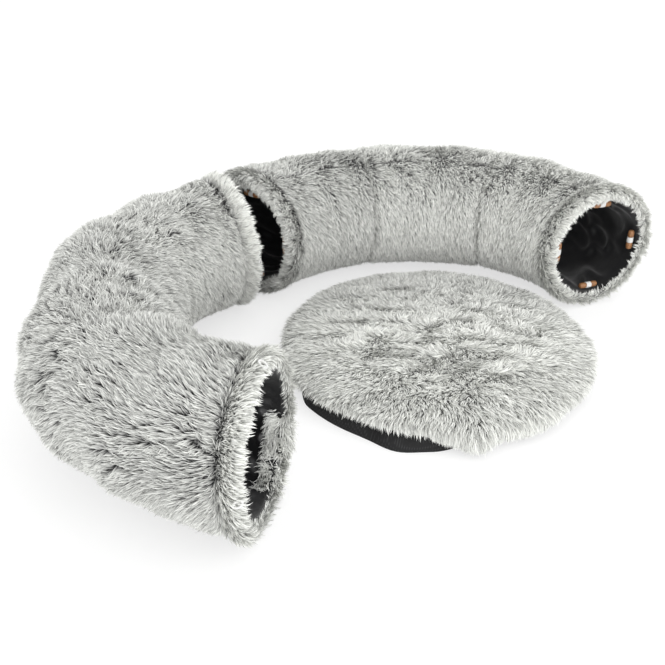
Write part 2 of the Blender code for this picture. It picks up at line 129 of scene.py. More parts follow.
def unit(v):
    """Vectors scaled to a length of one."""
    return v / np.maximum(np.linalg.norm(v, axis=-1, keepdims=True), 1e-9)


def half_path(start, heading, turns):
    """Middle line of a half ring: its heading falls in straight steps of arc length, and its
    place is the running sum of the heading's direction."""
    bends = np.radians(np.cumsum((0,) + tuple(turns)))
    knots = [0, STRAIGHT, SEAMS[0], SEAMS[1], HALF_LENGTH - STRAIGHT, HALF_LENGTH]
    values = heading - np.array([0, 0, bends[1], bends[2], bends[3], bends[3]])
    s = np.linspace(0, HALF_LENGTH, PATH_POINTS)
    theta = np.interp(s, knots, values)
    step = s[1] - s[0]
    x, y = (np.concatenate([[0], np.cumsum((way(theta[1:]) + way(theta[:-1])) * step / 2)])
            for way in (np.cos, np.sin))
    return {"s": s, "x": start[0] + x, "y": start[1] + y, "theta": theta}


def path_frame(path, s):
    """Centre, direction and left-hand direction of a path at distances along it."""
    x, y, theta = (np.interp(s, path["s"], path[key]) for key in ("x", "y", "theta"))
    zero = np.zeros_like(theta)
    beyond = s - np.clip(s, 0, HALF_LENGTH)
    along = np.stack([np.cos(theta), np.sin(theta), zero], -1)
    left = np.stack([-np.sin(theta), np.cos(theta), zero], -1)
    centre = np.stack([x, y, zero + AXIS_HEIGHT], -1) + along * beyond[..., None]
    return centre, along, left


def path_end(path, s):
    """Centre, direction and left-hand direction at one distance along."""
    return (v[0] for v in path_frame(path, np.array([s])))


def lay_out():
    """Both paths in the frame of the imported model. The join's axis gives the shift."""
    loop = half_path(LOOP_START, LOOP_HEADING, LOOP_TURNS)
    end, along, left = path_end(loop, HALF_LENGTH)
    axis = end + along * JOIN_GAP / 2 + left * JOIN_AXIS_OFFSET
    shift = np.array(JOINTS["join_swing"]["pos_m"]) - axis
    swing = np.array(Matrix.Rotation(JOIN_OPENING, 3, "Z"))
    start = axis + swing @ (end + along * JOIN_GAP - axis)
    toggle = half_path(start[:2], loop["theta"][-1] + JOIN_OPENING, TOGGLE_TURNS)
    for path in (loop, toggle):
        path["x"] = path["x"] + shift[0]
        path["y"] = path["y"] + shift[1]
    return {"loop": loop, "toggle": toggle}, shift


PATHS, SHIFT = lay_out()
CUSHION_CENTRE = np.array([CUSHION_PLACE[0] + SHIFT[0], CUSHION_PLACE[1] + SHIFT[1], 0.0])


# Sizes across the tunnel

def swell(distance, reach=0.055):
    """From 0 to 1 over a reach, steep at first: one less the square of the share that is left."""
    away = np.clip(distance / reach, 0, 1)
    return 1 - (1 - away) ** 2


def ease(x):
    """Soft step from 0 to 1: three times the square of x less twice its cube."""
    x = np.clip(x, 0, 1)
    return x * x * (3 - 2 * x)


def bell(x, middle, reach, power=2):
    """1 at the middle, fading on both sides: e to the minus power of the distance over the reach."""
    return np.exp(-np.abs((x - middle) / reach) ** power)


def angle_bell(phi, degrees, reach, power=2):
    """A bell round the tunnel or the cushion, with its middle and its reach in degrees."""
    return bell((np.degrees(phi) - degrees + 180) % 360 - 180, 0, reach, power)


def bells(rows, s, phi):
    """Sum of bells over distance along and angle. A row is the place along, the angle in degrees,
    the reach along, the reach in degrees and the height."""
    total = 0.0
    for place, angle, reach, spread, height in rows:
        total = total + height * bell(s, place, reach) * angle_bell(phi, angle, spread)
    return total


def off_floor(phi):
    """0 on the underside, and 1 from 30 degrees below the middle upwards."""
    return ease((1 + np.sin(phi)) / 0.5)


def mouth_distance(s):
    """Distance along from the nearer mouth."""
    return np.minimum(s, HALF_LENGTH - s)


def body_size(s):
    """Half width and half height over the tips: full between seams, drawn in at each of them."""
    seam = np.minimum(np.abs(s - SEAMS[0]), np.abs(s - SEAMS[1]))
    mouth = mouth_distance(s) - ROLL_LENGTH
    wide = []
    for full, at_seam in ((HALF_WIDTH, SEAM_HALF_WIDTH), (HALF_HEIGHT, SEAM_HALF_HEIGHT)):
        from_seam = at_seam + (full - at_seam) * swell(seam)
        from_mouth = STITCH_RADIUS + (full - STITCH_RADIUS) * swell(mouth)
        wide.append(np.minimum(from_seam, from_mouth))
    return wide


def passage_size(s):
    """Half width and half height of the lining's outside, which widens from the mouths by a soft
    step."""
    share = ease((mouth_distance(s) - ROLL_LENGTH) / LINING_TAPER)
    return (LINING_MOUTH_RADIUS + (PASSAGE_HALF_WIDTH - LINING_MOUTH_RADIUS) * share,
            LINING_MOUTH_RADIUS + (PASSAGE_HALF_HEIGHT - LINING_MOUTH_RADIUS) * share)


def drawn_in(waves):
    """Waves as a share: 0 on a crest and 1 in a hollow."""
    return np.clip((1 - waves / 2) / 2, 0, 1)


def fold(half, s, phi):
    """How far soft folds draw the pile in: three waves over length and angle, faded out at seams,
    at mouths and on the underside, and weaker beyond the first panel."""
    s = np.asarray(s)
    total = 0.0
    for length, turns, start in FOLD_WAVES:
        along = s / (length * PANEL_LENGTH) + start + FOLD_START[half]
        total = total + np.cos(tau * along + turns * phi)
    edges = np.array((STRAIGHT,) + SEAMS + (HALF_LENGTH - STRAIGHT,))
    clear = swell(np.abs(s[..., None] - edges).min(-1)) * (mouth_distance(s) > STRAIGHT)
    first, later = FOLD_STRENGTH[half]
    strength = first + (later - first) * ease((s - SEAMS[0]) / FOLD_CHANGE)
    return FOLD_DEPTH * strength * drawn_in(total) * clear * off_floor(phi)


def lump(x, y):
    """How far the cushion's pile dips at a place: three straight waves over the floor plan, less by
    the fourth power of the distance from the middle."""
    total = 0.0
    for length, heading, start in LUMP_WAVES:
        along = x * cos(tau * heading) + y * sin(tau * heading)
        total = total + np.cos(tau * (along / (length * CUSHION_RADIUS) + start))
    out = np.minimum((x * x + y * y) / CUSHION_RADIUS ** 2, 1.0)
    return LUMP_DEPTH * drawn_in(total) * (1 - out ** 2)


def waves(seed, count, longest, shortest):
    """Fixed random waves over distance along (metres) and whole turns round: their rate, turns,
    start and size. The longer a wave, the higher it is, and their sum is about one in size."""
    rng = np.random.default_rng(seed)
    length = np.exp(rng.uniform(np.log(shortest), np.log(longest), count))
    turns = rng.integers(-7, 8, count)
    phase = rng.uniform(0, tau, count)
    height = length / length.max()
    height /= np.sqrt((height ** 2).sum() / 2)
    return np.stack([tau / length, turns, phase, height], -1)


def wave_sum(table, s, phi):
    """Sum over the waves of the height times the cosine of rate times s plus turns times phi."""
    total = np.zeros(np.broadcast(s, phi).shape)
    for rate, turns, phase, height in table:
        total = total + height * np.cos(rate * s + turns * phi + phase)
    return total


# Meshes

def new_piece(name, points, faces, material, triangles=(), smooth=True):
    """A linked mesh of faces that all have as many sides, and of a few triangles more."""
    mesh = bpy.data.meshes.new(name)
    mesh.from_pydata(points, [], [])
    groups = [np.asarray(group, np.int32) for group in (faces, triangles) if len(group)]
    sides = np.concatenate([np.full(len(group), group.shape[1], np.int32) for group in groups])
    mesh.loops.add(int(sides.sum()))
    mesh.polygons.add(len(sides))
    mesh.loops.foreach_set("vertex_index", np.concatenate([group.ravel() for group in groups]))
    mesh.polygons.foreach_set("loop_start", (np.cumsum(sides) - sides).astype(np.int32))
    mesh.polygons.foreach_set("use_smooth", np.full(len(sides), smooth))
    mesh.update(calc_edges=True)
    mesh.materials.append(material)
    piece = bpy.data.objects.new(name, mesh)
    bpy.context.scene.collection.objects.link(piece)
    return piece


def grid_faces(rows, columns, wrap_rows, wrap_columns):
    """Quads of a grid of points, rows first, closed round either way where that is asked."""
    r = np.arange(rows if wrap_rows else rows - 1)
    c = np.arange(columns if wrap_columns else columns - 1)
    r, c = np.meshgrid(r, c, indexing="ij")
    r1, c1 = (r + 1) % rows, (c + 1) % columns
    quads = np.stack([r * columns + c, r * columns + c1, r1 * columns + c1, r1 * columns + c], -1)
    return quads.reshape(-1, 4)


def capped_piece(name, rings, material, flipped=False):
    """Rings of points joined in order, each end closed by a fan to the middle of its ring. Gives
    the piece and the places of all its points."""
    rows, columns = rings.shape[:2]
    points = rings.reshape(-1, 3)
    points = np.concatenate([points, [points[:columns].mean(0), points[-columns:].mean(0)]])
    faces = grid_faces(rows, columns, False, True)
    k = np.arange(columns)
    after = (k + 1) % columns
    last = (rows - 1) * columns
    middle = np.full(columns, rows * columns)
    fans = np.concatenate([np.stack([middle, after, k], -1),
                           np.stack([middle + 1, last + k, last + after], -1)])
    if flipped:
        faces, fans = faces[:, ::-1], fans[:, ::-1]
    return new_piece(name, points, faces, material, fans), points


def add_uv(mesh, name, values):
    """UV map from one pair of values for each vertex."""
    corner = np.zeros(len(mesh.loops), np.int32)
    mesh.loops.foreach_get("vertex_index", corner)
    layer = mesh.uv_layers.new(name=name)
    layer.data.foreach_set("uv", np.asarray(values, np.float32)[corner].ravel())


def add_attribute(mesh, name, values):
    layer = mesh.attributes.new(name, "FLOAT", "POINT")
    layer.data.foreach_set("value", np.asarray(values, np.float32).ravel())


# Shapes of blades: share along, and width there as a share of the full width
LONG_BLADE = ((0.0, 0.85), (0.42, 1.0), (0.76, 0.66))
SHORT_BLADE = ((0.0, 0.9), (0.55, 1.0))
KINDS = ((LONG_BLADE, "pile"), (SHORT_BLADE, "under_coat"))
# Part of its cell of the UV map that a blade fills: the margin, and the share that is left
CELL_MARGIN, CELL_SHARE = 0.12, 0.76


def strands(name, coat, shape, material):
    """Pile as tapered blades. A blade's middle line is the quadratic arc from its root, drawn
    towards its middle point, to its tip; its edges lie half a width to each side of that line,
    and the width falls to nothing at the tip."""
    root, middle, tip, side, width, tone, pale = coat
    count = len(root)
    shares, taper = np.array(shape).T
    pairs = len(shares)
    size = 2 * pairs + 1
    t = shares[None, :, None]
    line = root[:, None] * (1 - t) ** 2 + middle[:, None] * 2 * t * (1 - t) + tip[:, None] * t ** 2
    half = side[:, None] * (width[:, None, None] * taper[None, :, None] / 2)
    edges = np.stack([line - half, line + half], 2).reshape(count, 2 * pairs, 3)
    points = np.concatenate([edges, tip[:, None]], 1).reshape(-1, 3)
    one = [(2 * pairs - 2, 2 * pairs - 1, 2 * pairs)]
    for k in range(0, 2 * pairs - 2, 2):
        one += [(k, k + 1, k + 3), (k, k + 3, k + 2)]
    faces = (np.arange(count)[:, None, None] * size + np.array(one)[None]).reshape(-1, 3)
    piece = new_piece(name, points, faces, material)
    along = np.append(np.repeat(shares, 2), 1.0)
    add_attribute(piece.data, "along", pale[:, None] + (1 - pale[:, None]) * along[None])
    add_attribute(piece.data, "tone", np.repeat(tone, size))
    columns = int(np.ceil(np.sqrt(count * 2.0)))
    rows = int(np.ceil(count / columns))
    k = np.arange(count)
    across = np.append(np.tile([0.0, 1.0], pairs), 0.5)
    u = (k % columns)[:, None] / columns + (CELL_MARGIN + across * CELL_SHARE) / columns
    v = (k // columns)[:, None] / rows + (CELL_MARGIN + along * CELL_SHARE) / rows
    add_uv(piece.data, "OFBake", np.stack([u, v], -1).reshape(-1, 2))
    return piece


# Materials

def feed(tree, made, inputs):
    """Sets inputs of a node, each to a plain value or to the output of another node."""
    for key, value in inputs.items():
        if isinstance(value, bpy.types.NodeSocket):
            tree.links.new(value, made.inputs[key])
        else:
            made.inputs[key].default_value = value


def node(tree, kind, inputs=None, **settings):
    made = tree.nodes.new(kind)
    for key, value in settings.items():
        setattr(made, key, value)
    feed(tree, made, inputs or {})
    return made


def fresh_material(name, roughness, colour=(0.5, 0.5, 0.5)):
    material = bpy.data.materials.new(name)
    material.use_nodes = True
    shader = material.node_tree.nodes["Principled BSDF"]
    feed(material.node_tree, shader, {"Base Color": (*colour, 1), "Roughness": roughness})
    return material, material.node_tree, shader


def ramp(tree, value, stops):
    """Colour that goes from stop to stop as the value rises."""
    made = node(tree, "ShaderNodeValToRGB", {"Fac": value})
    elements = made.color_ramp.elements
    while len(elements) < len(stops):
        elements.new(0.5)
    for element, (place, colour) in zip(elements, stops):
        element.position = place
        element.color = (*colour, 1)
    return made.outputs["Color"]


def paint(tree, shader, value, stops, bump=None, invert=False):
    """Colours a finish by a value along a ramp. Bump is the strength and the height in metres
    with which the same value raises it."""
    feed(tree, shader, {"Base Color": ramp(tree, value, stops)})
    if bump:
        raised = {"Strength": bump[0], "Distance": bump[1], "Height": value}
        made = node(tree, "ShaderNodeBump", raised, invert=invert)
        feed(tree, shader, {"Normal": made.outputs["Normal"]})


def shades(colour, *shares):
    """The colour times each share."""
    return [tuple(share * c for c in colour) for share in shares]


def object_place(tree):
    return node(tree, "ShaderNodeTexCoord").outputs["Object"]


def noise(tree, place, **inputs):
    return node(tree, "ShaderNodeTexNoise", {"Vector": place, **inputs}).outputs["Fac"]


def pile_material(look):
    """Dark at the root, frosted at the tip, each blade with its own tone. Part of that tone and
    of the root's paleness is painted light and painted shade, set for the panels, the rolls, the
    flaps, the groove and the cushion.
    """
    material, tree, shader = fresh_material("frosted_pile", 0.78)
    along = node(tree, "ShaderNodeAttribute", attribute_name="along")
    tone = node(tree, "ShaderNodeAttribute", attribute_name="tone")
    root, mid, tip = (tuple(c) for c in (look.pile_root, look.pile_middle, look.pile_tip))
    frost = tuple(0.3 * a + 0.7 * b for a, b in zip(mid, tip))
    stops = [(0.0, root), (0.2, root), (0.42, mid), (0.62, frost), (0.85, tip)]
    colours = {0: ramp(tree, along.outputs["Fac"], stops), "Scale": tone.outputs["Fac"]}
    scaled = node(tree, "ShaderNodeVectorMath", colours, operation="SCALE")
    feed(tree, shader, {"Base Color": scaled.outputs["Vector"], "Specular IOR Level": 0.25})
    return material


def backing_material(look):
    """Knitted backing under the pile, with a short grey undercoat."""
    material, tree, shader = fresh_material("pile_backing", 0.95)
    knit = noise(tree, object_place(tree), Scale=260, Detail=3)
    paint(tree, shader, knit, [(0.3, tuple(look.pile_root)), (0.75, tuple(look.pile_middle))])
    return material


def lining_material(look):
    """Thin black cloth with a soft shine and fine crumples."""
    material, tree, shader = fresh_material("black_lining", 0.34)
    crumples = noise(tree, object_place(tree), Scale=34, Detail=4, Distortion=0.8)
    dark, light = shades(look.lining, 0.6, 1.5)
    paint(tree, shader, crumples, [(0.3, dark), (0.75, light)], bump=(0.35, 0.004))
    feed(tree, shader, {"Sheen Weight": 0.3})
    return material


def weave_material(look):
    """Plain weave with 240 fine dots to the metre, on the piece's own Weave map."""
    cloth, dots = tuple(look.base_cloth), tuple(look.base_dots)
    material, tree, shader = fresh_material("base_cloth", 0.82, cloth)
    uv = node(tree, "ShaderNodeUVMap", uv_map="Weave").outputs["UV"]
    spread = node(tree, "ShaderNodeVectorMath", {0: uv, "Scale": 240}, operation="SCALE")
    cells = {"Vector": spread.outputs["Vector"], "Scale": 1.0, "Randomness": 0.0}
    dotted = node(tree, "ShaderNodeTexVoronoi", cells).outputs["Distance"]
    paint(tree, shader, dotted, [(0.16, dots), (0.3, cloth)], bump=(0.5, 0.0006), invert=True)
    return material


def wood_material(look):
    """Oiled wood with grain stretched along the toggle, on its own Grain map."""
    material, tree, shader = fresh_material("oiled_wood", 0.42)
    uv = node(tree, "ShaderNodeUVMap", uv_map="Grain").outputs["UV"]
    stretch = node(tree, "ShaderNodeMapping", {"Vector": uv, "Scale": (9.0, 1.3, 1.0)})
    grain = noise(tree, stretch.outputs["Vector"], Scale=2.2, Detail=5)
    dark, light = shades(look.wood, 0.45, 1.0)
    paint(tree, shader, grain, [(0.3, dark), (0.62, light)], bump=(0.2, 0.0004))
    return material


def elastic_material(look):
    """White flat elastic with fine ribs, on Object coordinates."""
    material, tree, shader = fresh_material("white_elastic", 0.7)
    ribs = node(tree, "ShaderNodeTexWave",
                {"Vector": object_place(tree), "Scale": 420, "Distortion": 0.6},
                wave_type="BANDS", bands_direction="DIAGONAL")
    dark, light = shades(look.elastic, 0.78, 1.0)
    paint(tree, shader, ribs.outputs["Fac"], [(0.2, dark), (0.6, light)], bump=(0.3, 0.0003))
    return material


def wire_material(look):
    """Drawn spring wire with faint streaks."""
    material, tree, shader = fresh_material("spring_steel", 0.35, tuple(look.wire))
    streaks = noise(tree, object_place(tree), Scale=300)
    dark, light = shades(look.wire, 0.7, 1.0)
    paint(tree, shader, streaks, [(0.3, dark), (0.7, light)])
    feed(tree, shader, {"Metallic": 1.0})
    return material


MAKERS = {
    "pile": pile_material,
    "backing": backing_material,
    "lining": lining_material,
    "base": weave_material,
    "wood": wood_material,
    "elastic": elastic_material,
    "wire": wire_material,
}
MATERIALS = {}


def finish(name):
    """The finish of that name, made once from the panel's colours."""
    if name not in MATERIALS:
        MATERIALS[name] = MAKERS[name](bpy.context.scene.tunnel_finish)
    return MATERIALS[name]


# Pile

# Long coat, then under coat: least and most lift of a blade, and its length, its pull towards the
# tuft and its tone as shares
COATS = ((0.44, 0.80, 1.0, 1.0, 1.0), (0.60, 0.90, 0.74, 0.5, 0.86))
# Least height over the floor of a blade's tip and of its middle
TIP_FLOOR, MIDDLE_FLOOR = 0.0025, 0.0045
# One blade in eight is darker, by this share
DARK_BLADES, DARK_TONE = 0.12, 0.62


def tangent(way, normal):
    """A way laid flat on the surface, at a length of one."""
    return unit(way - normal * (way * normal).sum(-1, keepdims=True))


def blade_tip(at, normal, way, length, lift):
    """The root plus the length times the lift up the normal, and times a little less than what
    the lift leaves along the way."""
    return at + length * (normal * lift + way * np.sqrt(1 - lift ** 2) * 0.92)


def make_tufts(rng, look, at, normal, lean):
    """Points that the blades round them lean towards, with the tone of each tuft."""
    count = len(at)
    way = tangent(lean + look.tuft_wander * rng.normal(size=at.shape), normal)
    lift = rng.uniform(0.52, 0.80, count)[:, None]
    length = look.pile_length * rng.uniform(0.85, 1.1, count)[:, None]
    return blade_tip(at, normal, way, length, lift), rng.normal(1.0, 0.05, count)


def grow(rng, look, place, tuft, tufts, form, under):
    """One coat of blades. A blade rises from its root, leans over along its way and is drawn part
    of the distance to the tip of its tuft. Form holds its length share, how flat it lies, how
    pale its root is and how bright the whole blade. The under coat is shorter, steeper and darker."""
    at, normal, lean = place
    short, flat, pale, bright = form
    least, most, longer, drawn, darker = COATS[under]
    count = len(at)
    way = tangent(lean + look.blade_wander * rng.normal(size=at.shape), normal)
    lift = (rng.uniform(least, most, count) * (1 - 0.62 * flat))[:, None]
    length = (look.pile_length * short * rng.uniform(0.78, 1.08, count) * longer)[:, None]
    tip = blade_tip(at, normal, way, length, lift)
    pull = rng.uniform(0.1, 0.6, count)[:, None] * np.clip(short, 0, 1)[:, None] ** 2 * drawn
    tip = tip + (tufts[0][tuft] - tip) * pull
    middle = at + (tip - at) * 0.28 + normal * length * 0.30
    tip[:, 2] = np.maximum(tip[:, 2], TIP_FLOOR)
    middle[:, 2] = np.maximum(middle[:, 2], MIDDLE_FLOOR)
    along = unit(tip - at)
    side = unit(np.cross(along, normal))
    roll = rng.normal(0, 0.45, count)[:, None]
    side = side * np.cos(roll) + np.cross(along, side) * np.sin(roll)
    width = (look.under_width if under else look.pile_width) * rng.uniform(0.7, 1.25, count)
    dark = np.where(rng.random(count) < DARK_BLADES, DARK_TONE, 1.0) * darker
    tone = np.clip(tufts[1][tuft] * rng.normal(1.0, 0.09, count) * dark * bright, 0.35, 1.25)
    pale = np.clip(pale + rng.normal(0, 0.04, count), 0, 0.8)
    return at, middle, tip, side, width, tone, pale


# Tunnel surfaces

LUMPS = {"loop": waves(11, 14, 0.12, 0.05), "toggle": waves(23, 14, 0.12, 0.05)}
DRIFT = {"loop": waves(5, 10, 0.34, 0.08), "toggle": waves(7, 10, 0.34, 0.08)}
PATCHES = {"loop": waves(41, 12, 0.12, 0.035), "toggle": waves(43, 12, 0.12, 0.035)}
# How rough the pile is in patches: beside the near mouth, and over the rest of each half
ROUGH = {"loop": (1.0, 0.5), "toggle": (0.34, 0.12)}
# Where the pile stands open: place along, angle in degrees, reach along, reach in degrees, height
OPEN_PLACES = {
    "loop": ((0.100, 28, 0.030, 14, 1), (0.190, 56, 0.035, 16, 1), (0.300, 72, 0.030, 16, 1),
             (0.375, 60, 0.025, 14, 1), (0.558, 98, 0.030, 16, 1)),
    "toggle": ((0.845, 156, 0.015, 30, 1), (0.037, 170, 0.015, 30, 1), (0.60, 128, 0.05, 10, 1)),
}
OPEN_ROUGHNESS = 0.75
# How ragged the pile of the rolls is, and how far the pile behind them is combed back from them
RAGGED = {"loop": 0.4, "toggle": 0.8}
COMBED_BACK = {"loop": 0.7, "toggle": 0.2}
# How pale the roots are and how bright the blades are on each panel along the half ring. The paler
# roots and brighter blades of some panels, most on the toggle half, are painted light.
PANEL_PALE = {"loop": (0.05, 0.02, 0.10), "toggle": (0.09, 0.20, 0.24)}
PANEL_PAINTED_LIGHT = {"loop": (0.99, 1.0, 1.08), "toggle": (1.05, 1.15, 1.22)}
# How much brighter the blades are on a roll: painted light on the loop half's rolls
ROLL_PAINTED_LIGHT = {"loop": 1.22, "toggle": 1.0}
# How strongly the groove behind a roll acts on each half: its blades stand up, and its roots are darkened
# as painted shade
GROOVE_SHOWS = {"loop": 1.0, "toggle": 0.5}
# Lengths of blades: at the outside of a roll, how much less at its back and more in a flap
ROLL_OUTSIDE, ROLL_BACK, FLAP_LONGER = 0.80, 0.2, 0.7
# How flat blades lie: on the body, how much less in rough patches and more on a roll
BODY_FLAT, ROUGH_STANDS, ROLL_FLATTER = 0.30, 0.25, 0.24
# How pale their roots are: how much less in rough patches, and more on a roll and in a flap. The
# darker roots in rough patches are painted shade where the pile parts, and the paler roots on
# rolls and flaps are painted light.
ROUGH_PAINTED_SHADE, ROLL_ROOT_PAINTED_LIGHT, FLAP_ROOT_PAINTED_LIGHT = 0.04, 0.46, 0.45
# Share of the flatness and of the paleness that the groove takes away. Taking the paleness away
# darkens the roots in the groove behind a roll, painted shade in that crease.
GROOVE_STANDS, GROOVE_PAINTED_SHADE = 0.8, 0.9
# Place where the combing from the free mouth fades, the distance that it fades over, how much it
# wanders, and how strongly it goes up on the upper half and down on the lower
COMB_PLACE, COMB_FADE, COMB_WANDER, COMB_STEEP = 0.16, 0.12, 0.4, 0.95
# How strongly the pile goes over a roll, and away from a seam
ROLL_PULL, SEAM_PULL = 1.6, 1.1
# Reach of a seam's pull along, of a parting's in radians, and of the groove about its place
SEAM_REACH, PARTING_REACH, GROOVE_REACH, GROOVE_PLACE = 0.009, 0.07, 0.0035, 0.035
PILE_DEPTH = 0.016
LUMP_HEIGHT = 0.0007
ROLL_THICKER = 1.9
# Radius at which the grid of roots is laid out round the tunnel
GRID_RADIUS = 0.118
# Sine of the angle below which half the roots go, share of a roll that counts as its inside, and
# how far in from the mouth flaps have roots
UNDERNEATH, INSIDE, FLAP_DEPTH = -0.9, 0.25, 0.034
# Lining: thickness, height of its folds and of its seams, and the gap to the backing outside it
CLOTH_THICKNESS, FOLD_HEIGHT, SEAM_RIDGE, BACK_GAP = 0.0012, 0.0085, 0.003, 0.0006
# Length of the pile on the inner side of a roll, as a share of the full length
INNER_LENGTH = {"loop": 0.34, "toggle": 0.52}
# Radius of the backing behind a roll, in four steps back to the body
GROOVE = {"loop": (0.1165, 0.1130, 0.1095, 0.1090), "toggle": (0.1185, 0.1178, 0.1168, 0.1150)}
# Lie of the pile: share down, share along, and how far its way wanders
LIE = {"loop": (0.85, 0.35, 0.5), "toggle": (1.0, 0.25, 0.45)}
NEAR_LIE = 0.35
# Flaps of long pile that hang into the near mouth: angle and half width in degrees
FLAPS = ((211, 19), (249, 12))
# Angle and half width in degrees of the near mouth's far lip, where the pile is longer inside
FAR_LIP = (205, 50)
LIP_LONGER = 0.36
# Broad swells and creases: place along, angle in degrees, reach along, reach in degrees, height
RELIEF = {
    "loop": ((0.31, -2, 0.06, 35, 0.014), (0.452, 25, 0.038, 32, -0.026), (0.59, 52, 0.07, 32, 0.013),
             (0.13, -36, 0.06, 24, -0.008), (0.03, -52, 0.05, 22, 0.006), (0.015, 238, 0.04, 28, 0.007),
             (0.74, 62, 0.05, 32, 0.008), (0.87, 75, 0.06, 38, 0.016)),
    "toggle": ((0.05, 72, 0.10, 40, 0.012), (0.22, 72, 0.10, 38, 0.008), (0.38, 75, 0.10, 38, 0.010),
               (0.55, 75, 0.09, 38, 0.011), (0.68, 75, 0.05, 38, 0.004),
               (0.875, -35, 0.05, 30, -0.008)),
}
# Seams along the second half ring: angle in degrees, and where each starts and ends
PARTINGS = ((108, 0.04, 0.84), (188, 0.294, 0.588))
# Backing at a mouth: the inner rows, the radius of the roll's core, the rows of the groove, and how
# far from the mouth the body starts
INNER_PLACES, INNER_RADII = (0.040, 0.032, 0.024), (0.1005, 0.1015, 0.1025)
ROLL_CORE, ROLL_ROWS = 0.0085, 9
GROOVE_PLACES = (0.022, 0.028, 0.034, 0.038)
BODY_START = 0.044
BODY_ROWS = 120
# How far the backing is drawn in at a seam, and over which distance along
PINCH, PINCH_REACH, PINCH_TAPER = 0.006, 0.005, 0.06


def skin_profile(half):
    """Backing of a half ring from inside one mouth, round the roll, along the body and round the
    other roll: rows of distance along, half width, half height, and how far folds and swells act."""
    angle = np.linspace(-pi / 2, pi / 2, ROLL_ROWS)
    roll_s = ROLL_ROUND - ROLL_CORE * np.cos(angle)
    roll_r = MOUTH_RADIUS - ROLL_ROUND + ROLL_CORE * np.sin(angle)
    end_s = np.concatenate([INNER_PLACES, roll_s, GROOVE_PLACES])
    end_r = np.concatenate([INNER_RADII, roll_r, GROOVE[half]])
    outer = np.concatenate([np.zeros(len(INNER_PLACES)), np.linspace(0, 1, ROLL_ROWS),
                            np.ones(len(GROOVE_PLACES))])
    body = np.linspace(BODY_START, HALF_LENGTH - BODY_START, BODY_ROWS)
    wide, high = body_size(body)
    pinch = sum(bell(body, seam, PINCH_REACH) for seam in SEAMS) * PINCH
    pinch = pinch - PINCH * (1 - ease((mouth_distance(body) - ROLL_LENGTH) / PINCH_TAPER))
    start = np.stack([end_s, end_r, end_r, end_s * 0, outer])
    depth = PILE_DEPTH + pinch
    along = np.stack([body, wide - depth, high - depth, body * 0 + 1, body * 0 + 1])
    end = start[:, ::-1].copy()
    end[0] = HALF_LENGTH - end[0]
    return np.concatenate([start, along, end], axis=1)


def tube(centre, left, wide, high, phi):
    """Centre, plus left times half width times cosine, plus up times half height times sine."""
    return centre + left * (wide * np.cos(phi))[..., None] + UP * (high * np.sin(phi))[..., None]


def skin_at(half, profile, row, phi):
    """Place on the backing at a fractional row of the profile and an angle round the tunnel: the
    tube of the profile's sizes, less the folds and plus the lumps and swells."""
    index = np.arange(len(profile[0]))
    s, a, b, acts, swells = (np.interp(row, index, values) for values in profile)
    centre, _, left = path_frame(PATHS[half], s)
    s, phi = np.broadcast_arrays(s, phi)
    lumps = LUMP_HEIGHT * wave_sum(LUMPS[half], s, phi) * off_floor(phi)
    less = acts * (fold(half, s, phi) - lumps) - swells * bells(RELIEF[half], s, phi)
    return tube(centre, left, a - less, b - less, phi)


def skin_normal(half, profile, row, phi):
    """Outward direction: the cross product of small steps round and along the backing."""
    along = skin_at(half, profile, row + 0.3, phi) - skin_at(half, profile, row - 0.3, phi)
    around = skin_at(half, profile, row, phi + 0.01) - skin_at(half, profile, row, phi - 0.01)
    return unit(np.cross(around, along)), unit(along), unit(around)


def profile_length(profile):
    """Running length along the profile. The rolls count for more, so that their pile is denser."""
    s, a = profile[:2]
    row = np.arange(len(s) - 1)
    row = np.minimum(row, len(s) - 2 - row)
    mouth_rows = len(INNER_PLACES) + ROLL_ROWS + 3
    counts = np.where(row < mouth_rows, ROLL_THICKER, 1.0)
    return np.concatenate([[0], np.cumsum(np.hypot(np.diff(s), np.diff(a)) * counts)])


def jittered(rng, rows, columns):
    """One random point in each cell of a grid, as shares from 0 to 1 both ways."""
    r, c = np.meshgrid(np.arange(rows), np.arange(columns), indexing="ij")
    return ((r + rng.random(r.shape)) / rows).ravel(), ((c + rng.random(c.shape)) / columns).ravel()


def nearest_tuft(u, v, jitter, rows, columns):
    """Index of the nearest jittered cell centre. It looks in the nine cells round each point."""
    cell_u, cell_v = np.floor(u * rows).astype(int), np.floor(v * columns).astype(int)
    best = np.full(u.shape, np.inf)
    chosen = np.zeros(u.shape, int)
    for du in (-1, 0, 1):
        for dv in (-1, 0, 1):
            row = np.clip(cell_u + du, 0, rows - 1)
            column = (cell_v + dv) % columns
            gap = ((u * rows - row - jitter[0][row, column]) ** 2
                   + (v * columns - cell_v - dv - jitter[1][row, column]) ** 2)
            better = gap < best
            best = np.where(better, gap, best)
            chosen = np.where(better, row * columns + column, chosen)
    return chosen


def parted(gap, reach):
    """Away from a line on both sides of it: a bell over the gap, times the gap's sign."""
    return bell(gap, 0, reach) * np.sign(gap)


